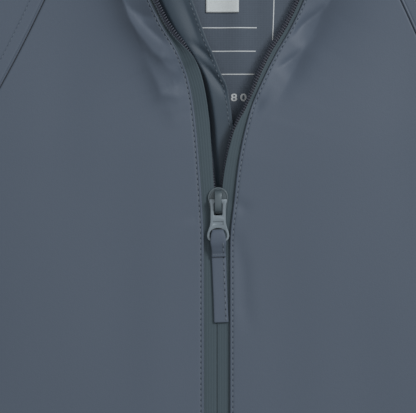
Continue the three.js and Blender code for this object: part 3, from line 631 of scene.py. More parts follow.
def frontHeight(p, fromZip):
    z = heightAt(p)
    z = z + rolled(fromZip, 0.5, 0.5) + groove(fromZip, frontMade["stitchAt"], 0.34, 0.24)
    z = z + 0.14 * np.exp(-((fromZip - 0.7) / 0.42) ** 2)
    fromHem = p[..., 1] - outline["zipBottomY"]
    return z + groove(fromHem, frontMade["hemStitch"], 0.7, 0.3) + rolled(fromHem, 0.5, 1.0)


def frontPanel(side, name):
    lower = np.arange(0, 0.474, 0.0068)
    upper = np.arange(0.474, 1, 0.00305)
    shares = finer(np.concatenate([lower, upper, [1.0]]),
                   [frontMade["hemStitch"] / zipLong], unit=1 / zipLong)
    shares = np.unique(np.concatenate([shares, [0.0008, 0.0018, 0.0032]]))
    near = np.array(frontMade["nearZip"])
    far = np.array(frontMade["nearSeam"])
    long = frontPlaces(side, shares, np.zeros((len(shares), 1)))[1]
    between = np.linspace(0, 1, frontMade["middleColumns"] + 2)[1:-1]
    middle = near[-1] + (long - near[-1] - far[0])[:, None] * between
    distances = np.concatenate([np.broadcast_to(near, (len(shares), len(near))), middle,
                                long[:, None] - far], axis=1)
    p, long = frontPlaces(side, shares, distances)
    toSeam = (long[:, None] - distances)
    z = frontHeight(p, distances)
    z = z + np.where(shares[:, None] >= frontMade["underarmShare"], rolled(toSeam, 0.55, 0.7), 0)
    z = z + rolled((1 - shares[:, None]) * zipLong + 0 * z, 0.5, 0.8)
    wall = mix(clothMade["zipHem"], clothMade["wall"], ease((distances - 6.5) / 2))
    return clothOver(name, raised(p, z), wall)


frontRight, frontLeft = frontPanel(-1, "frontRight"), frontPanel(1, "frontLeft")
print("fronts made")


# Jacket back, flat on the floor, with its inner face seen in the neck

# Ripples of the back in the neck: middle, reach across and along, and height
backRipples = [
    (8, -8, 6, 30, 1.5), (-14, 2, 8, 14, 1.2), (21, -2, 5, 20, 0.9), (14, -36, 5, 12, 0.9),
    (33, 8, 6, 12, 1.2),
]


def backTop(p):
    return clothMade["back"] + swellHeight(p, backRipples)


def backPanel():
    shares = np.concatenate([np.linspace(0, 0.8, 60)[:-1], np.linspace(0.8, 1, 50)])
    t = np.linspace(0, 1, 90)
    edge = bodyEdge(shares)
    dip = ((outline["neckPoint"][1] - outline["backNeckY"]) * 4 * t * (1 - t)
           * ease((shares[:, None] - 0.8) / 0.2))
    x = mix(-edge[:, :1], edge[:, :1], t)
    p = np.stack([x, edge[:, 1:] - dip], axis=-1)
    return lowerPanel("backPanel", p, backTop(p))


back = backPanel()
print("back made")


# Sleeves, cut in a front and a back

sleeveMade = {
    "neckSideShare": 0.12, "headFade": 0.45, "seamShift": (0.12, 0.05), "columns": 84,
    "ridge": 0.5, "firstLine": 1.15, "bandEnd": 5.9, "cuffStitch": 16.0,
}


def sleeveHead(share):
    neckSide = sleeveMade["neckSideShare"]
    start, end = np.array(outline["shoulderFold"], float), np.array(outline["neckPoint"], float)
    side = mix(start, end, clamp(share / neckSide)[..., None])
    return np.where((share < neckSide)[..., None], side, raglan(clamp((share - neckSide) / (1 - neckSide))))


def sleevePlaces(side, stations, shares):
    top, under = overarm(stations)[:, None], undersleeve(stations)[:, None]
    share = shares[None, :, None]
    straight = mix(top, under, share)
    headStraight = mix(np.array(outline["shoulderFold"], float), np.array(outline["underarm"], float), share)
    left = ease(1 - stations / sleeveMade["headFade"])[:, None, None]
    p = straight + (sleeveHead(shares)[None] - headStraight) * left
    return p * np.array([side, 1])


# Moved a little off a seam: by so much outwards and so much up
def movedOff(p, shift):
    out = p.copy()
    out[..., 0] += np.sign(p[..., 0]) * shift[0] * ease(np.abs(p[..., 0]) / 20)
    out[..., 1] += shift[1]
    return out


def sleeveRelief(p):
    fromSeam = leastDistance(onLeft(p), [raglanLine])
    onBand = 0.16 * ease((sleeveMade["bandEnd"] + 0.35 - fromSeam) / 0.7)
    z = onBand + rolled(fromSeam, 0.55, 0.7) + groove(fromSeam, sleeveMade["firstLine"], 0.3, 0.2)
    z = z + 0.1 * np.exp(-((fromSeam - sleeveMade["ridge"]) / 0.3) ** 2)
    fromCuff = nearRun(onLeft(p), outline["cuffOuter"], outline["cuffInner"])[0]
    return z + groove(fromCuff, sleeveMade["cuffStitch"], 0.7, 0.3) + rolled(fromCuff, 0.5, 1.0)


def sleeveStations():
    head = np.arange(0, 0.036, 0.00125)
    rest = np.concatenate([np.arange(0.036, 0.12, 0.006), np.linspace(0.12, 1, 62)])
    extra = [0.915, 0.922, 0.93, 0.94, 0.95, 0.96, 0.97, 0.996, 0.998]
    return np.unique(np.concatenate([head, rest, extra]))


def sleeveFront(side, name):
    stations = sleeveStations()
    ends = np.array([0, 0.0015, 0.004, 0.009, 0.017])
    shares = np.concatenate([ends, np.linspace(0.03, 0.97, sleeveMade["columns"]), 1 - ends[::-1]])
    p = sleevePlaces(side, stations, shares)
    z = heightAt(p) + sleeveRelief(p)
    outer = raised(movedOff(p, sleeveMade["seamShift"]), z)
    return clothOver(name, outer)


def sleeveBack(side, name):
    p = sleevePlaces(side, sleeveStations()[::3], np.linspace(0, 1, 40))
    p = movedOff(p, sleeveMade["seamShift"])
    return lowerPanel(name, p, clothMade["back"])


sleeves = {
    "right": (sleeveFront(-1, "sleeveFrontRight"), sleeveBack(-1, "sleeveBackRight")),
    "left": (sleeveFront(1, "sleeveFrontLeft"), sleeveBack(1, "sleeveBackLeft")),
}
print("sleeves made")


# Hood halves, open at the face and sewn down the middle

hoodMade = {"shift": (-0.05, 0.16), "kneeTop": 0.54, "kneeBottom": 0.2, "inset": 0.8, "casing": 15.0}


def hoodGrid(side):
    corner = np.array([abs(zipEdge(side, outline["zipTopY"])[0]), outline["zipTopY"]])
    neckPoint, shoulder = (np.array(outline[k], float) for k in ("neckPoint", "shoulderFold"))
    middle = np.array([plan["halfGap"], outline["backNeckY"]])
    rim = bend(corner, (66, 70), (62, 196), outline["hoodRimTop"])
    ups = np.unique(np.concatenate([np.linspace(0, 1, 74), [0.003, 0.007, 0.99, 0.996]]))
    tops = np.concatenate([[0, 0.006, 0.014, 0.03, 0.05], np.linspace(0.075, 0.93, 40),
                           [0.955, 0.975, 0.988, 0.996, 1]])
    bottoms = np.linspace(0, 1, 16)

    def neckTop(t):
        knee = hoodMade["kneeTop"]
        low = mix(corner, neckPoint, clamp(t / knee)[..., None])
        high = mix(neckPoint, shoulder, clamp((t - knee) / (1 - knee))[..., None])
        return np.where((t < knee)[..., None], low, high)

    def neckBottom(t):
        knee = hoodMade["kneeBottom"]
        toMiddle = clamp((t - knee) / (1 - knee))
        p = mix(neckPoint, middle, toMiddle[..., None])
        p[..., 1] = outline["backNeckY"] + (neckPoint[1] - outline["backNeckY"]) * (1 - toMiddle) ** 2
        return np.where((t < knee)[..., None], mix(shoulder, neckPoint, clamp(t / knee)[..., None]), p)

    left = ease(1 - ups / 0.5)[:, None, None]
    start, fold = rim(ups)[:, None], hoodFold(ups)[:, None]
    seamY = mix(outline["backNeckY"], outline["hoodSeamEndY"], ups)
    end = np.stack([np.full(len(ups), plan["halfGap"]), seamY], axis=-1)[:, None]
    t, s = tops[None, :, None], bottoms[None, :, None]
    top = mix(start, fold, t) + (neckTop(tops)[None] - mix(corner, shoulder, t)) * left
    bottom = mix(fold, end, s) + (neckBottom(bottoms)[None] - mix(shoulder, middle, s)) * left
    step = bottom[:, 1] - bottom[:, 0]
    bottom[:, 0] += step / np.linalg.norm(step, axis=-1, keepdims=True) * hoodMade["inset"]
    flip = np.array([side, 1])
    return ups, top * flip, bottom * flip


def hoodHalf(side, name):
    ups, top, bottom = hoodGrid(side)
    fromRim = np.linalg.norm(top - top[:, :1], axis=-1)
    z = heightAt(top) + rolled(fromRim, 0.5, 0.9) + groove(fromRim, hoodMade["casing"], 0.9, 0.35)
    z = z + 0.25 * np.exp(-((fromRim - hoodMade["casing"] / 2) / 5) ** 2)
    fromNeck = nearRun(onLeft(top), outline["neckPoint"], outline["shoulderFold"])[0]
    z = z + rolled(fromNeck, 0.4, 0.8)
    over, under = (movedOff(part, hoodMade["shift"]) for part in (top, bottom))
    outer = np.concatenate([raised(over, z), raised(under, 0.0)], axis=1)
    normals = gridNormals(outer) * (1 if looksUp(outer) else -1)
    inner = outer - normals * clothMade["wall"] / 1000
    last = bottom.shape[1]
    inner[:, -last + 1:] = outer[:, -last + 1:] + np.array([0, 0, clothMade["back"] / 1000])
    return clothBetween(name, outer, inner, 1, bothFaces)


hoodRight, hoodLeft = hoodHalf(-1, "hoodRight"), hoodHalf(1, "hoodLeft")
print("hood made")


# Zip: tapes, coils and guard

tapeMade = {
    "shown": 5.8, "belowCloth": 1.5, "wall": 0.6, "hingeAt": 1.0,
    "tilt": [(-400, 0, 0), (-62, 0, 0), (-50, 3, -4), (-43, 5, -8), (-34, 8, -11), (-28, 13, -12),
             (-23, 34, -13), (-18, 54, -13), (-10, 62, -14), (20, 62, -14)],
    "columns": [-7.5, -6, -4.5, -3, -1.8, -0.8, 0, 0.5, 1.0, 1.5, 2.2, 3.0, 3.8, 4.5, 5.0, 5.3, 5.55, 5.8],
    # how much tape shows beside the cloth: level, wearer's right, wearer's left
    "bare": [(-400, 5.8, 5.8), (-84, 5.8, 5.8), (-62, 6.0, 4.9), (-56, 6.2, 3.9), (-48, 6.2, 2.0),
             (-41, 6.2, 1.7), (-34, 6.1, 2.0), (-28, 5.6, 2.2), (-23, 4.2, 2.2), (-18, 2.8, 2.1),
             (-10, 2.0, 1.9), (20, 1.6, 1.8)],
}


# Rows along the zip from the hem to the neck, at the levels of the fronts' rows
def zipRows(side, shares):
    y = outline["zipBottomY"] + shares * zipLong
    at = zipEdge(side, y)
    ahead, behind = zipEdge(side, y + 1), zipEdge(side, y - 1)
    way = (ahead - behind) / np.linalg.norm(ahead - behind, axis=-1, keepdims=True)
    inward = np.stack([-side * way[:, 1], side * way[:, 0]], axis=-1)
    return y, at, inward


def tapeTilt(side, y):
    return np.radians(sideTable(tapeMade["tilt"], side, y))


def tapeBare(side, y):
    inner = np.abs(zipEdge(side, y)[..., 0]) - plan["halfGap"] * 0.35
    return np.minimum(sideTable(tapeMade["bare"], side, y), inner)


# Places on a tape, at distances inward from the cloth's edge, and so far under its face
def tapeFrame(side, shares, d, below=0.0):
    y, at, inward = zipRows(side, shares)
    tilt = tapeTilt(side, y)[:, None]
    edgeZ = heightAt(at)[:, None] - tapeMade["belowCloth"]
    hinge = tapeMade["hingeAt"]
    past = np.maximum(d - hinge, 0)
    out = np.where(d > hinge, hinge + past * np.cos(tilt), d)
    p = at[:, None] + inward[:, None] * (out + np.sin(tilt) * below)[..., None]
    z = edgeZ + past * np.sin(tilt) - np.cos(tilt) * below
    row, _ = frontPlaces(side, shares, np.maximum(-d, 0) + 0 * z)
    underCloth = d < 0
    p = np.where(underCloth[..., None], row, p)
    z = np.where(underCloth, heightAt(p) - tapeMade["belowCloth"], z)
    return p, z


def tapeShares(step):
    low = (outline["tapeBottomY"] - outline["zipBottomY"]) / zipLong
    return np.append(np.arange(low, 0.9975, step), 0.9975)


def zipTape(side, name):
    shares = tapeShares(0.0036)
    columns = np.array(tapeMade["columns"])[None]
    bare = tapeBare(side, outline["zipBottomY"] + shares * zipLong)[:, None]
    d = np.where(columns > 0, columns * bare / tapeMade["shown"], columns)
    p, z = tapeFrame(side, shares, d)
    z = z - 0.16 * clamp((columns - 5.4) / 0.4) ** 2
    return clothOver(name, raised(p, z), tapeMade["wall"], [tapeCloth])


coilMade = {
    "pitch": 1.2, "wire": 0.26, "shut": 0.86, "open": 1.42, "deep": 0.62, "turnPoints": 9, "wirePoints": 5,
    "belowTape": 0.62, "follow": 0.4,
    # how far the coil's middle line lies back from where it would just touch the tape's edge
    "lap": [(-400, 1.2, 1.2), (-86, 1.2, 1.2), (-72, 1.8, 1.05), (-60, 2.3, 0.9), (-34, 2.8, 0.6),
            (-27, 2.8, 0.5), (-20, 0.9, 0.42), (-14, 0.5, 0.42), (20, 0.5, 0.42)],
}


def coilLap(side, y):
    return sideTable(coilMade["lap"], side, y)


# A wire wound along the tape's edge; the two sides are half a pitch apart, so they mesh when closed
def zipCoil(side, name):
    made = coilMade
    shares = tapeShares(0.003)
    y, _, inward = zipRows(side, shares)
    bare = tapeBare(side, y)
    opened = ease((y + 84) / 66)
    across = mix(made["shut"], made["open"], opened)
    below = mix(0.35, tapeMade["wall"] + made["belowTape"], clamp((coilLap(side, y) - 0.3) / 0.9))
    edge, ez = tapeFrame(side, shares, bare[:, None])
    tilt = tapeTilt(side, y) * made["follow"]
    reach = across - coilLap(side, y)
    centre = edge[:, 0] + inward * (reach * np.cos(tilt) + below * np.sin(tilt))[:, None]
    line = raised(centre, ez[:, 0] + reach * np.sin(tilt) - below * np.cos(tilt)) * 1000
    run = runAlong(line)
    turns = int(run[-1] / made["pitch"]) - 1
    phase = np.arange(turns * made["turnPoints"] + 1) / made["turnPoints"] + (0.5 if side > 0 else 0)
    s = phase * made["pitch"]

    def at(values):
        return np.stack([np.interp(s, run, values[:, k]) for k in range(values.shape[1])], axis=-1)

    middle = at(line)
    flatOut = np.concatenate([inward * np.cos(tilt)[:, None], np.sin(tilt)[:, None]], axis=1)
    down = np.concatenate([inward * np.sin(tilt)[:, None], -np.cos(tilt)[:, None]], axis=1)
    u, n, wide = at(flatOut), at(down), at(across[:, None])
    angle = 2 * math.pi * phase[:, None]
    wireLine = middle + u * wide * np.cos(angle) + n * made["deep"] * np.sin(angle)
    along = np.gradient(wireLine, axis=0)
    along /= np.linalg.norm(along, axis=1, keepdims=True)
    side1 = np.cross(along, np.gradient(middle, axis=0))
    side1 /= np.linalg.norm(side1, axis=1, keepdims=True)
    side2 = np.cross(along, side1)
    ring = np.linspace(0, 2 * math.pi, made["wirePoints"], endpoint=False)
    round1, round2 = np.cos(ring)[None, :, None], np.sin(ring)[None, :, None]
    verts = wireLine[:, None] + made["wire"] * (side1[:, None] * round1 + side2[:, None] * round2)
    count, k = len(wireLine), made["wirePoints"]
    grid = np.arange(count * k).reshape(count, k)
    grid = np.hstack([grid, grid[:, :1]])
    coil = makeObject(name, verts.reshape(-1, 3) / 1000, quads(grid)[:, ::-1], [coilStuff])
    closeEnds(coil)
    return coil


# Fills open ends and points every face outwards
def closeEnds(obj):
    bpy.context.view_layer.objects.active = obj
    obj.select_set(True)
    bpy.ops.object.mode_set(mode="EDIT")
    bpy.ops.mesh.select_all(action="SELECT")
    bpy.ops.mesh.fill_holes(sides=0)
    bpy.ops.mesh.normals_make_consistent(inside=False)
    bpy.ops.object.mode_set(mode="OBJECT")
    obj.select_set(False)


guardMade = {
    "sewn": (5.0, 3.0), "wall": 0.7, "drop": 5.8, "leastClosed": 7.4, "leastOpen": 5.2,
    "freeEdge": [(-400, 12.0), (-84, 11.5), (-62.7, 8.7), (-55.2, 6.5), (-46.9, 5.05), (-42.7, 4.0),
                 (-38.3, 3.0), (-33.1, 0.35), (-23.6, -3.9), (-18.8, -6.2), (-10.6, -9.5), (0.7, -13.7),
                 (16, -20)],
    "shade": 7.2, "pastCoil": 0.2, "hollow": 6.0, "edgeRise": 1.5, "swell": 0.5,
    "floor": 1.9, "sewnUnder": 2.9,
    "columns": 34, "stitchAt": 1.7,
    "creases": [([(-10.8, -19), (-5.4, -23.4), (-1.8, -27.5)], 1.3, 2.2, 1.5),
                ([(-8.8, -26), (-3.2, -31.5), (2.2, -38.3), (4.4, -43)], 1.2, 2.2, 1.6),
                ([(-16, 2), (-11.5, -9), (-7.5, -20)], 2.0, 3.0, 0.9)],
}


def guardPlaces(shares):
    y, near, _ = zipRows(-1, shares)
    farY = y - 4 * ease((y + 70) / 70)
    far = np.stack([tableAt(guardMade["freeEdge"], 1, farY), farY], axis=-1)
    t = np.linspace(0, 1, guardMade["columns"])
    free = mix(near[:, None], far[:, None], t[None, :, None])
    least = mix(guardMade["leastClosed"], guardMade["leastOpen"], ease((y + 110) / 40))
    low = np.maximum(np.minimum(heightAt(near) - guardMade["drop"], guardMade["shade"]), least)
    opened = ease((y + 84) / 70)
    farZ = low + guardMade["edgeRise"] * opened
    z = mix(low[:, None], farZ[:, None], t)
    inFrom = np.linalg.norm(free - near[:, None], axis=-1)
    coilOut = 2 * mix(coilMade["shut"], coilMade["open"], opened) + coilMade["wire"] - coilLap(-1, y)
    tapeOut = 1 + (tapeBare(-1, y) - 1) * np.cos(tapeTilt(-1, y))
    shown = tapeOut + np.maximum(coilOut, 0) + guardMade["pastCoil"]
    swell = np.exp(-((t - 0.5) / 0.2) ** 2)[None] * guardMade["swell"] * opened[:, None]
    hollow = guardMade["hollow"] * ease((y + 96) / 50)[:, None]
    hollow = hollow * np.exp(-((inFrom - shown[:, None]) / 1.3) ** 2)
    z = z + swell - hollow
    leaned = leanedPlaces(free)
    for points, leftWide, rightWide, deep in guardMade["creases"]:
        apart, hand, along = nearLine(leaned, points)
        fade = np.sin(math.pi * clamp(0.12 + 0.8 * along / (len(points) - 1)))
        z = z - deep * fade * np.exp(-(apart / np.where(hand > 0, leftWide, rightWide)) ** 1.4)
    z = np.maximum(z, guardMade["floor"])
    sewnPlaces, _ = frontPlaces(-1, shares, np.broadcast_to(np.array(guardMade["sewn"]), (len(shares), 2)))
    sewnZ = heightAt(sewnPlaces) - guardMade["sewnUnder"]
    return np.concatenate([sewnPlaces, free], axis=1), np.concatenate([sewnZ, z], axis=1)


def zipGuard():
    p, z = guardPlaces(tapeShares(0.004))
    return clothOver("guard", raised(p, z), guardMade["wall"], [guardPaintedShadeCloth, lining])


tapes = {"right": zipTape(-1, "tapeRight"), "left": zipTape(1, "tapeLeft")}
coils = {"right": zipCoil(-1, "coilRight"), "left": zipCoil(1, "coilLeft")}
guard = zipGuard()
print("zip tapes, coils and guard made")


# Trousers

trousersMade = {"columns": 46, "gathers": 22, "gatherHeight": 1.1, "hemStitch": 18.0, "bandWall": 1.2}


def atLevel(curve, y):
    line = curve(np.linspace(0, 1, 600))
    return np.interp(-y, -line[:, 1], line[:, 0])


def legPlaces(side, levels, shares):
    inner = np.where(levels >= outline["crotchY"], plan["halfGap"], atLevel(legInside, levels))
    outer = atLevel(legOutside, levels)
    x = mix(inner[:, None], outer[:, None], shares)
    return np.stack([side * x, np.broadcast_to(levels[:, None], x.shape)], axis=-1)


def gatherWave(x):
    return np.sin((x + outline["waistX"]) / (2 * outline["waistX"]) * trousersMade["gathers"] * 2 * math.pi)


def legLevels():
    levels = np.linspace(outline["waistSeam"] - 0.3, outline["legHemY"], 150)
    return finer(levels, [outline["legHemY"] + trousersMade["hemStitch"]])[::-1]


def legFront(side, name):
    levels = legLevels()
    ends = np.array([0, 0.003, 0.008, 0.017, 0.03])
    shares = np.concatenate([ends, np.linspace(0.05, 0.95, trousersMade["columns"]), 1 - ends[::-1]])
    p = legPlaces(side, levels, shares)
    y = p[..., 1]
    z = heightAt(p)
    near = np.exp(-(outline["waistSeam"] - y) / 26)
    z = z + 0.9 * near * gatherWave(p[..., 0]) * ease((z - 1) / 4)
    fromHem = y - outline["legHemY"]
    z = z + groove(fromHem, trousersMade["hemStitch"], 0.8, 0.35) + rolled(fromHem, 0.5, 1.2)
    middle = np.abs(p[..., 0]) + 30 * ease((outline["crotchY"] - y) / 10)
    z = z + rolled(middle, 0.5, 1.4)
    return clothOver(name, raised(p, z))


def legBack(side, name):
    p = legPlaces(side, legLevels()[::4], np.linspace(0, 1, 16))
    return lowerPanel(name, p, clothMade["back"])


def waistRing():
    levels = np.linspace(outline["waistTop"], outline["waistSeam"], 15)
    x = np.linspace(-outline["waistX"], outline["waistX"], trousersMade["gathers"] * 9 + 1)
    p = np.stack(np.broadcast_arrays(x[None], levels[:, None]), axis=-1)
    fade = ease((outline["waistX"] - np.abs(p[..., 0])) / 11)
    across = (levels[:, None] - outline["waistSeam"]) / (outline["waistTop"] - outline["waistSeam"])
    drawn = 0.65 + 0.35 * np.cos(across * 4 * math.pi)
    z = heightAt(p) + trousersMade["gatherHeight"] * fade * drawn * gatherWave(p[..., 0])
    z = z - 0.6 * np.exp(-((across - 0.33) / 0.03) ** 2) - 0.6 * np.exp(-((across - 0.67) / 0.03) ** 2)
    z = z - 0.8 * (clamp(1 - across / 0.06) ** 2 + clamp((across - 0.94) / 0.06) ** 2)
    under = np.linspace(outline["waistX"] - 0.8, -outline["waistX"] + 0.8, 30)
    q = np.stack(np.broadcast_arrays(under[None], levels[:, None]), axis=-1)
    outer = np.concatenate([raised(p, z), raised(q, 0.0)], axis=1)
    return clothOver("waistCasing", outer, trousersMade["bandWall"], closed=True)


trousers = {
    "right": (legFront(-1, "trouserFrontRight"), legBack(-1, "trouserBackRight")),
    "left": (legFront(1, "trouserFrontLeft"), legBack(1, "trouserBackLeft")),
}
waistband = waistRing()
print("trousers made")


# Hard pieces, modelled from primitives

def onlySelect(obj):
    bpy.ops.object.select_all(action="DESELECT")
    obj.select_set(True)
    bpy.context.view_layer.objects.active = obj


def finishPiece(obj, bevel=0.0, segments=3, angle=40):
    onlySelect(obj)
    if bevel:
        edge = obj.modifiers.new("edge", "BEVEL")
        edge.width = bevel / 1000
        edge.segments = segments
        edge.limit_method = "ANGLE"
        edge.angle_limit = math.radians(angle)
        bpy.ops.object.modifier_apply(modifier=edge.name)
    bpy.ops.object.transform_apply(location=True, rotation=True, scale=True)
    bpy.ops.object.shade_smooth_by_angle(angle=math.radians(38))
    obj.select_set(False)
    return obj


# A plate from a circle whose points are moved to an outline, then extruded. Sizes in millimetres
def plateFrom(name, points, low, high):
    bpy.ops.mesh.primitive_circle_add(vertices=len(points), radius=0.01, fill_type="NGON")
    obj = bpy.context.object
    obj.name = name
    for vertex, (x, y) in zip(obj.data.vertices, points):
        vertex.co = (x / 1000, y / 1000, low / 1000)
    bpy.ops.object.mode_set(mode="EDIT")
    bpy.ops.mesh.select_all(action="SELECT")
    bpy.ops.mesh.extrude_region_move(TRANSFORM_OT_translate={"value": (0, 0, (high - low) / 1000)})
    bpy.ops.mesh.select_all(action="SELECT")
    bpy.ops.mesh.normals_make_consistent(inside=False)
    bpy.ops.object.mode_set(mode="OBJECT")
    return obj


def cutAway(obj, cutter):
    onlySelect(obj)
    cut = obj.modifiers.new("cut", "BOOLEAN")
    cut.operation = "DIFFERENCE"
    cut.solver = "EXACT"
    cut.object = cutter
    bpy.ops.object.modifier_apply(modifier=cut.name)
    bpy.data.objects.remove(cutter)


def joinInto(obj, others):
    onlySelect(obj)
    for other in others:
        other.select_set(True)
    bpy.context.view_layer.objects.active = obj
    bpy.ops.object.join()
    obj.select_set(False)
    return obj


def dress(obj, material):
    obj.data.materials.clear()
    obj.data.materials.append(material)


def arc(cx, cy, rx, ry, start, end, count):
    angles = np.radians(np.linspace(start, end, count))
    return [(cx + rx * math.cos(a), cy + ry * math.sin(a)) for a in angles]


def roundedBox(half, low, high, r, count):
    points = []
    for quarter, (x, y) in enumerate(((1, high - r), (-1, high - r), (-1, low + r), (1, low + r))):
        points += arc(x * (half - r), y, r, r, quarter * 90, quarter * 90 + 90, count)
    return points


sliderMade = {
    "x": 0.5, "y": -90.5, "half": 4.6, "front": 6.3, "back": 5.6, "plateLow": 14.72, "plateHigh": 15.74,
    "lowerLow": 10.68, "lowerHigh": 11.74, "rim": 0.7, "rimDeep": 0.16,
    "bridgeHalf": 1.62, "bridgeTop": 19.4, "bridgeThick": 1.05, "bridgeFront": 5.0, "bridgeBack": 5.2,
    "pivotZ": 17.08,
}
sliderX = sliderMade["x"]
sliderY = sliderMade["y"] - plan["middleY"]


def shieldOutline(half, front, backwards):
    top = arc(0, front - half * 1.05, half, half * 1.05, 0, 180, 25)
    bottom = arc(0, -backwards + 3.4, half * 0.86, 3.4, 180, 360, 17)
    return top + bottom


def insetTop(obj, thickness, depth, high):
    onlySelect(obj)
    bpy.ops.object.mode_set(mode="EDIT")
    bpy.ops.mesh.select_mode(type="FACE")
    bpy.ops.mesh.select_all(action="DESELECT")
    bpy.ops.object.mode_set(mode="OBJECT")
    for face in obj.data.polygons:
        face.select = face.normal.z > 0.9 and face.center.z > (high - 0.05) / 1000
    bpy.ops.object.mode_set(mode="EDIT")
    bpy.ops.mesh.inset(thickness=thickness / 1000, depth=0)
    bpy.ops.mesh.inset(thickness=0.12 / 1000, depth=-depth / 1000)
    bpy.ops.object.mode_set(mode="OBJECT")


def zipSlider():
    made = sliderMade
    shield = shieldOutline(made["half"], made["front"], made["back"])
    top = plateFrom("slider", shield, made["plateLow"], made["plateHigh"])
    insetTop(top, made["rim"], made["rimDeep"], made["plateHigh"])
    finishPiece(top, 0.2)
    lower = plateFrom("sliderLower", shield, made["lowerLow"], made["lowerHigh"])
    finishPiece(lower, 0.25)
    round24 = arc(0, made["front"] - 1.1, 0.9, 0.9, 0, 345, 24)
    post = plateFrom("sliderPost", round24, made["lowerHigh"] - 0.2, made["plateLow"] + 0.2)
    finishPiece(post)
    # the bridge stands over the puller's crossbar, from the front of the plate to its back
    foot = made["plateHigh"] - made["rimDeep"] - 0.15
    outside, inside = [], []
    for k in range(13):
        a = math.pi * k / 12
        reach = mix(made["bridgeFront"], -made["bridgeBack"], (1 - math.cos(a)) / 2)
        rise = math.sin(a) ** 0.42
        outside.append((reach, foot + (made["bridgeTop"] - foot) * rise))
        shrink = 1 - made["bridgeThick"] / 5.1
        inside.append((reach * shrink - 0.02, foot + (made["bridgeTop"] - made["bridgeThick"] - foot) * rise))
    bridge = plateFrom("sliderBridge", outside + inside[::-1], -made["bridgeHalf"], made["bridgeHalf"])
    finishPiece(bridge, 0.3, 3, 50)
    # from lying on its side to standing along the zip
    turn = Matrix(((0, 0, 1, 0), (1, 0, 0, 0), (0, 1, 0, 0), (0, 0, 0, 1)))
    bridge.data.transform(turn)
    made = joinInto(top, [lower, post, bridge])
    made.data.transform(Matrix.Translation((sliderX / 1000, sliderY / 1000, 0)))
    dress(made, sliderMetal)
    return made


pullerShape = {
    "thick": 1.15, "ear": 3.95, "earEnd": -1.2, "neck": 3.45,
    "windowHalf": 1.92, "windowTop": -0.9, "windowEnd": -6.35,
    "ringAt": -14.9, "ring": 5.0, "eye": 3.85, "eyeTall": 2.8, "eyeEnd": -17.0, "tip": -18.1,
}


def pullerSide(sign):
    made = pullerShape
    points = [(3.75, 0.9), (made["ear"], 0.6), (made["ear"], -0.3), (3.62, made["earEnd"]),
              (made["neck"], -2.6), (made["neck"], -8.2), (3.52, -9.6), (3.8, -11.2), (4.3, -12.7),
              (4.75, -14.0), (made["ring"], -15.2), (4.98, -16.0), (4.7, -16.9), (4.15, -17.6),
              (3.4, made["tip"])]
    return [(sign * x, y) for x, y in points]


def zipPuller():
    made = pullerShape
    half = made["thick"] / 2
    body = plateFrom("puller", pullerSide(1) + pullerSide(-1)[::-1], -half, half)
    window = roundedBox(made["windowHalf"], made["windowEnd"], made["windowTop"], 0.5, 5)
    cutAway(body, plateFrom("cutWindow", window, -3, 3))
    eye = arc(0, made["ringAt"], made["eye"], made["eyeTall"], 0, 180, 25) + [
        (-made["eye"], -16.2), (-3.5, -16.8), (-3.0, made["eyeEnd"]),
        (3.0, made["eyeEnd"]), (3.5, -16.8), (made["eye"], -16.2)]
    cutAway(body, plateFrom("cutEye", eye, -3, 3))
    # a shallow bare panel on the plate below the window
    panel = [(-2.3, -10.7), (2.3, -10.7), (2.3, -9.1), (-2.3, -9.1)]
    cutAway(body, plateFrom("cutPanel", panel, half - 0.34, half + 1))
    finishPiece(body, 0.2, 2, 35)
    body.data.transform(Matrix.Translation((sliderX / 1000, sliderY / 1000, sliderMade["pivotZ"] / 1000)))
    dress(body, pullerMetal)
    return body


def zipBox():
    low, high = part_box("zip_box")
    around = roundedBox((high.x - low.x) * 500, low.y * 1000, high.y * 1000, 1.2, 6)
    box = plateFrom("stopBox", around, low.z * 1000, high.z * 1000)
    insetTop(box, 1.0, 0.25, high.z * 1000)
    finishPiece(box, 0.25)
    dress(box, sliderMetal)
    return box


slider = zipSlider()
puller = zipPuller()
stopBox = zipBox()
print("slider, puller and box made")


# The tab, a folded strip of the shell cloth through the puller's eye

tabMade = {
    "half": 3.28, "lean": 2.2, "layer": 0.85, "end": -54.6, "topEnd": -24.2, "topEndZ": -0.93, "lowZ": -1.85,
    "columns": 15, "rows": 150, "stitchIn": 1.15, "lowPitch": 2.7, "overPitch": 2.6, "barPitch": 1.1,
}


# The strip's middle line, from the free end up, round the puller's bar and back over itself
def tabLine():
    made = tabMade
    low = made["lowZ"]
    return np.array([
        (made["end"], low), (-50, low + 0.05), (-44, low), (-36, low + 0.05), (-30, low), (-26, low + 0.05),
        (-22.5, -1.63), (-19.5, -1.35), (-16.6, -1.32), (-14.7, -1.1), (-13.5, -0.5), (-13.1, 0.15),
        (-13.5, 0.85), (-14.7, 1.28), (-16.6, 1.42), (-18.2, 1.34), (-19.6, 1.05), (-20.9, 0.5),
        (-22.2, -0.05), (-23.4, -0.7), (made["topEnd"], made["topEndZ"]), (-25.0, -0.99)])


def smoothLine(points, count):
    run = runAlong(points)
    table = np.concatenate([run[:, None], points], axis=1)
    s = np.linspace(0, run[-1], count)
    return np.stack([tableAt(table, k + 1, s) for k in range(points.shape[1])], axis=-1), s


def tabTurned(points):
    a = math.radians(tabMade["lean"])
    eyeEnd = pullerShape["eyeEnd"]
    x, y, z = points[..., 0], points[..., 1] - eyeEnd, points[..., 2]
    turnedX = x * math.cos(a) - y * math.sin(a) + sliderX
    turnedY = x * math.sin(a) + y * math.cos(a) + eyeEnd + sliderY
    return np.stack([turnedX, turnedY, z + sliderMade["pivotZ"]], axis=-1) / 1000


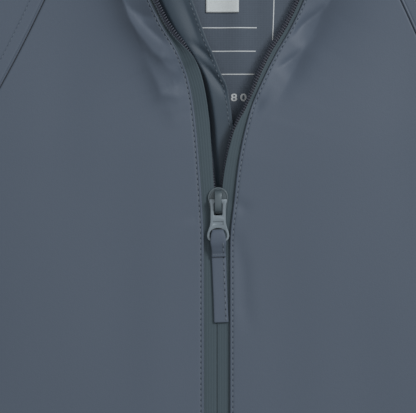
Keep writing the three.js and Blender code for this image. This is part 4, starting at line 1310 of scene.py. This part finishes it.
def pullTab():
    made = tabMade
    line, s = smoothLine(tabLine(), made["rows"])
    way = np.gradient(line, axis=0)
    way /= np.linalg.norm(way, axis=1, keepdims=True)
    normal = np.stack([way[:, 1], -way[:, 0]], axis=-1)
    shares = np.linspace(-1, 1, made["columns"])
    narrow = 1 - 0.03 * np.sin(s / 9.0)
    # how much the strip widens about a place along it, and its reach
    for at, reach, widen in ((-12.9, 1.7, -0.27), (-18.6, 1.6, 0.07), (-22, 2.2, -0.05)):
        narrow = narrow + widen * np.exp(-((line[:, 0] - at) / reach) ** 2)
    x = shares[None] * (made["half"] * narrow)[:, None]
    thick = made["layer"] * (1 - 0.35 * np.abs(shares) ** 6)
    ripple = 0.05 * np.sin(s / 2.1)[:, None] * (1 - shares ** 2)[None]

    def layer(sign):
        off = sign * thick[None] / 2 + ripple
        y = line[:, :1] + normal[:, :1] * off
        z = line[:, 1:] + normal[:, 1:] * off
        return tabTurned(np.stack([x, y, z], axis=-1))

    strip = clothBetween("tab", layer(1), layer(-1), 1, [cloth])
    closeEnds(strip)
    return strip


tab = pullTab()
print("tab made")


# Label and ruled print on the back's inner face

labelMade = {"x": 0.0, "half": 7.5, "bottom": -4.5, "top": 15.1, "thick": 0.5, "above": 0.12}


def neckLabel():
    made = labelMade
    x = np.linspace(-made["half"], made["half"], 21)
    y = np.linspace(made["bottom"], made["top"], 27)
    p = np.stack(np.broadcast_arrays(made["x"] + x[None], y[:, None]), axis=-1)
    base = backTop(p) + made["above"]
    fold = 0.14 * np.exp(-((p[..., 1] - made["bottom"]) / 0.5) ** 2)
    top = base + made["thick"] + fold
    return clothBetween("label", raised(p, top), raised(p, base), 1, [labelCloth])


printMade = {
    "thick": 0.06, "width": 0.5,
    "numberSize": 4.9, "numberAt": (6.35, -44.8), "numberStretch": (1.2, 0.95, 1, 1),
    "lines": [((-10, -11.5), (15.8, -11.5)), ((-6, -22.2), (15.6, -22.2)), ((-2, -32.7), (15.4, -32.7))],
    "frame": ((23.7, 12.0), (23.1, -17.5)),
}


def printStroke(name, start, end):
    made = printMade
    a, b = np.array(start, float), np.array(end, float)
    way = (b - a) / np.linalg.norm(b - a)
    across = np.array([-way[1], way[0]]) * made["width"] / 2
    t = np.linspace(0, 1, 40)[:, None]
    line = mix(a, b, t)
    p = np.stack([line - across, line, line + across], axis=1)
    base = backTop(p) + 0.01
    top = base + made["thick"]
    return clothBetween(name, raised(p, top), raised(p, base), 1, [ink])


def printNumber():
    bpy.ops.object.text_add(location=(0, 0, 0))
    words = bpy.context.object
    words.data.body = "80"
    words.data.size = printMade["numberSize"] / 1000
    words.data.space_character = 1.45
    words.data.extrude = 0.00004
    words.data.offset = 0.00012
    bpy.ops.object.convert(target="MESH")
    made = bpy.context.object
    made.name = "printNumber"
    x, y = printMade["numberAt"]
    place = Matrix.Translation((x / 1000, (y - plan["middleY"]) / 1000, 0.00008))
    made.data.transform(place @ Matrix.Diagonal(printMade["numberStretch"]))
    for vertex in made.data.vertices:
        where = np.array([vertex.co.x * 1000, vertex.co.y * 1000 + plan["middleY"]])
        vertex.co.z += float(backTop(where)) / 1000
    dress(made, ink)
    made.select_set(False)
    return made


label = neckLabel()
prints = [printStroke("printLine%d" % (k + 1), *ends) for k, ends in enumerate(printMade["lines"])]
prints.append(printStroke("printFrame", *printMade["frame"]))
prints.append(printNumber())
print("label and print made")


# Stitches: one small thread bump and one needle hole, a near-black dot of painted shade, repeated along the
# sewn lines

def stitchTemplate():
    bpy.ops.mesh.primitive_uv_sphere_add(segments=8, ring_count=4, radius=1)
    ball = bpy.context.object
    verts = np.array([v.co[:] for v in ball.data.vertices])
    faces = [list(f.vertices) for f in ball.data.polygons]
    bpy.data.objects.remove(ball)
    # turned so that the poles are the thread's two ends
    return verts[:, [2, 0, 1]], [f + [f[-1]] if len(f) == 3 else f for f in faces]


stitchVerts, stitchFaces = stitchTemplate()
stitchMade = {"long": 1.6, "wide": 0.5, "high": 0.5, "hole": 0.66}


# Sews along a line in metres. Each stitch lies in the surface, and a needle hole, a dark dot of painted
# shade, is between each two
def sewLine(line, pitch, scale=1.0, up=(0, 0, 1), holes=True):
    run = runAlong(line)
    pitch = pitch / 1000
    count = max(2, int(run[-1] / pitch))
    s = (np.arange(count) + 0.5) * run[-1] / count

    def at(where):
        return np.stack([np.interp(where, run, line[:, k]) for k in range(3)], axis=-1)

    way = at(s + 0.0004) - at(s - 0.0004)
    way /= np.linalg.norm(way, axis=1, keepdims=True)
    upward = np.broadcast_to(np.array(up, float), way.shape)
    across = np.cross(upward, way)
    across /= np.linalg.norm(across, axis=1, keepdims=True)
    over = np.cross(way, across)
    long, wide, high = (stitchMade[k] * scale / 2000 for k in ("long", "wide", "high"))
    sets = [(at(s), long, wide, high, 0)]
    if holes:
        r = stitchMade["hole"] * scale / 2000
        sets.append((at(s + run[-1] / count / 2) - over * 0.00003, r, r, r * 0.5, 1))
    parts = []
    for middle, a, b, c, slot in sets:
        x, y, z = (stitchVerts[None, :, k:k + 1] for k in range(3))
        verts = middle[:, None] + way[:, None] * x * a + across[:, None] * y * b + over[:, None] * z * c
        parts.append((verts.reshape(-1, 3), len(middle), slot))
    return parts


def sewnObject(name, parts):
    verts, faces, slots, start = [], [], [], 0
    size = len(stitchVerts)
    for points, count, slot in parts:
        verts.append(points)
        for k in range(count):
            faces += [[start + k * size + v for v in dict.fromkeys(f)] for f in stitchFaces]
        slots += [slot] * (count * len(stitchFaces))
        start += len(points)
    return makeObject(name, np.concatenate(verts), faces, [thread, needleHoleShade], slots)


def zipTopstitch(side):
    shares = np.linspace(0.004, 0.999, 700)
    d = np.full((len(shares), 1), frontMade["stitchAt"])
    p, _ = frontPlaces(side, shares, d)
    return raised(p, frontHeight(p, d) + 0.04)[:, 0]


def guardStitch():
    shares = np.linspace(0.05, 0.9975, 500)
    p, z = guardPlaces(shares)
    reach = np.linalg.norm(p[:, -1] - p[:, 2], axis=-1)
    share = 1 - guardMade["stitchAt"] / reach
    t = np.linspace(0, 1, guardMade["columns"])
    rows = np.concatenate([p, z[..., None] + 0.05], axis=-1)[:, 2:]
    return placed(np.array([[np.interp(at, t, row[:, c]) for c in range(3)] for at, row in zip(share, rows)]))


def seamStitch(side):
    distance = sleeveMade["bandEnd"] - 0.1
    t = np.linspace(0.02, 0.97, 260)
    line = raglan(t)
    way = np.gradient(line, axis=0)
    way /= np.linalg.norm(way, axis=1, keepdims=True)
    p = (line + np.stack([-way[:, 1], way[:, 0]], axis=-1) * distance) * np.array([side, 1])
    z = heightAt(p) + sleeveRelief(p) + 0.02
    return raised(p, z)


def hemStitch(side):
    share = np.array([frontMade["hemStitch"] / zipLong])
    long = frontPlaces(side, share, np.zeros((1, 1)))[1][0]
    p = frontPlaces(side, share, np.linspace(2.2, long - 1.5, 240)[None])[0][0]
    pressed = groove(p[..., 1] - outline["zipBottomY"], frontMade["hemStitch"], 0.7, 0.3)
    return raised(p, heightAt(p) + pressed + 0.06)


def cuffStitch(side):
    a, b = np.array(outline["cuffOuter"], float), np.array(outline["cuffInner"], float)
    way = (b - a) / np.linalg.norm(b - a)
    back = np.array([way[1], -way[0]])
    back *= np.sign(back @ (np.array([200.0, -100.0]) - a))
    t = np.linspace(0.03, 0.95, 90)[:, None]
    p = (mix(a, b, t) + back * sleeveMade["cuffStitch"]) * np.array([side, 1])
    return raised(p, heightAt(p) + sleeveRelief(p) + 0.06)


def rimStitch(side):
    _, top, _ = hoodGrid(side)
    far = np.linalg.norm(top - top[:, :1], axis=-1)
    p = np.array([[np.interp(hoodMade["casing"], far[k], top[k, :, c]) for c in (0, 1)]
                  for k in range(2, len(top) - 3)])
    return raised(p, heightAt(p) - 0.28)


def legStitch(side):
    y = outline["legHemY"] + trousersMade["hemStitch"]
    p = legPlaces(side, np.array([y]), np.linspace(0.03, 0.97, 120))[0]
    return raised(p, heightAt(p) - 0.28)


sewing = {"zip": 2.42, "guard": 2.5, "seam": 2.2, "hem": 3.0}


def bothSides(name, pitch, stitches, scale=1.0):
    return sewnObject(name, [part for side in (-1, 1) for stitch in stitches
                             for part in sewLine(stitch(side), pitch, scale)])


zipSewing = bothSides("zipSewing", sewing["zip"], [zipTopstitch])
guardSewing = sewnObject("guardSewing", sewLine(guardStitch(), sewing["guard"], 0.72))
bodySewing = bothSides("bodySewing", sewing["hem"], [hemStitch, cuffStitch, rimStitch, legStitch])
seamSewing = bothSides("seamSewing", sewing["seam"], [seamStitch], 0.55)


def tabSewing():
    made = tabMade
    line, _ = smoothLine(tabLine(), made["rows"])

    def onTop(x, y, z, above=0.03):
        return tabTurned(np.stack(np.broadcast_arrays(x, y, z + made["layer"] / 2 + above), axis=-1))

    low = line[(line[:, 0] < made["topEnd"] - 1.2) & (line[:, 1] < -1.2)]
    low = low[np.argsort(low[:, 0])]
    over = line[len(line) // 2:]
    over = over[(over[:, 1] > -0.75) & (over[:, 0] < -17.8)]
    edge = made["half"] - made["stitchIn"]
    across = np.linspace(-made["half"] + 0.4, made["half"] - 0.4, 12)
    bartack = onTop(across, made["topEnd"] + 0.3, made["topEndZ"], 0.05)
    return sewnObject("tabSewing", sewLine(onTop(edge, *low.T), made["lowPitch"])
                      + sewLine(onTop(edge, *over.T), made["overPitch"])
                      + sewLine(bartack, made["barPitch"], 0.7, holes=False))


tabThread = tabSewing()
print("sewing made")


# What each piece stands for, and its cut

# Each sheet, the width and length it was cut to in metres, what it lies on and, where the cut
# isn't a rectangle, its flat area. What lies on the floor names nothing
frontCut, legCut, sleeveCut = (0.176, 0.402), (0.170, 0.471), (0.150, 0.385)
hoodCut, tapeCut = (0.210, 0.226), (0.0133, 0.374)
cuts = [
    (frontRight, frontCut, ["backPanel"], 0.0556), (frontLeft, frontCut, ["backPanel"], 0.0556),
    (back, (0.360, 0.402), [], 0.1176),
    (hoodRight, hoodCut, [], 0.0304), (hoodLeft, hoodCut, [], 0.0304),
    (tapes["right"], tapeCut, ["frontRight"], None), (tapes["left"], tapeCut, ["frontLeft"], None),
    (guard, (0.029, 0.372), ["backPanel"], None),
    (waistband, (0.555, 0.028), [], None), (label, (0.015, 0.0196), ["backPanel"], None),
]
for side, name in (("right", "Right"), ("left", "Left")):
    cuts += [
        (sleeves[side][0], sleeveCut, ["sleeveBack" + name], 0.0292),
        (sleeves[side][1], sleeveCut, [], 0.0274),
        (trousers[side][0], legCut, ["trouserBack" + name], 0.0658), (trousers[side][1], legCut, [], 0.0642),
    ]


def stand(obj, nodes, body="garment"):
    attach(obj, body)
    if nodes:
        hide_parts(*nodes)


stand(frontRight, ["jacket_front_right"])
stand(frontLeft, ["jacket_front_left"])
stand(back, ["jacket_back"])
stand(hoodRight, ["hood_right"])
stand(hoodLeft, ["hood_left"])
for side in ("right", "left"):
    stand(sleeves[side][0], ["sleeve_front_" + side])
    stand(sleeves[side][1], ["sleeve_back_" + side])
    stand(tapes[side], ["zip_tape_" + side])
    stand(coils[side], [])
    stand(trousers[side][0], ["trouser_front_" + side])
    stand(trousers[side][1], ["trouser_back_" + side])
stand(guard, ["zip_guard"])
stand(waistband, ["waistband"])
stand(slider, ["zip_slider"])
stand(stopBox, ["zip_box"])
stand(puller, ["zip_puller"], "puller")
stand(tab, ["pull_tab"], "puller")
stand(tabThread, [], "puller")
stand(label, ["neck_label"])
for piece in (zipSewing, guardSewing, bodySewing, seamSewing):
    stand(piece, [])
for piece in prints:
    stand(piece, [])


# Stage, light and camera

view = {"x": -0.00405, "y": 0.22689, "height": 1.2, "across": 0.1872, "level": 0.016}


def stageFloor():
    bpy.ops.mesh.primitive_plane_add(size=12, location=(0, 0, -0.0006))
    floor = bpy.context.object
    floor.name = "floor"
    floor.data.transform(floor.matrix_world)
    floor.matrix_world = Matrix.Identity(4)
    floor.data.materials.append(patterned("paleFloor", paleFloor))
    floor.select_set(False)


def areaLight(name, where, aim, size, power, colour):
    data = bpy.data.lights.new(name, "AREA")
    data.shape = "SQUARE"
    data.size = size
    data.energy = power
    data.color = colour
    lamp = bpy.data.objects.new(name, data)
    lamp.location = where
    lamp.rotation_mode = "QUATERNION"
    lamp.rotation_quaternion = (Vector(aim) - Vector(where)).to_track_quat("-Z", "Y")
    lamp.visible_camera = False
    bpy.context.scene.collection.objects.link(lamp)


stageFloor()
areaLight("overhead", (0.1, 0.3, 2.4), (0, 0.1, 0), 2.4, 12, (1, 1, 1))
areaLight("key", (1.3, 1.35, 1.7), (0, 0.2, 0), 0.7, 34, (1, 0.99, 0.98))
world = bpy.data.worlds.new("studio")
bpy.context.scene.world = world
world.use_nodes = True
world.node_tree.nodes["Background"].inputs["Color"].default_value = (0.86, 0.88, 0.9, 1)
world.node_tree.nodes["Background"].inputs["Strength"].default_value = 0.3
bpy.context.scene.view_settings.view_transform = "Standard"

camera = bpy.data.cameras.new("camera")
camera.sensor_width = 36
camera.lens = 36 * (view["height"] - view["level"]) / view["across"]
camera.clip_start = 0.05
camera.clip_end = 50
cameraObject = bpy.data.objects.new("camera", camera)
cameraObject.location = (view["x"], view["y"], view["height"])
bpy.context.scene.collection.objects.link(cameraObject)
bpy.context.scene.camera = cameraObject
print("stage, light and camera made")
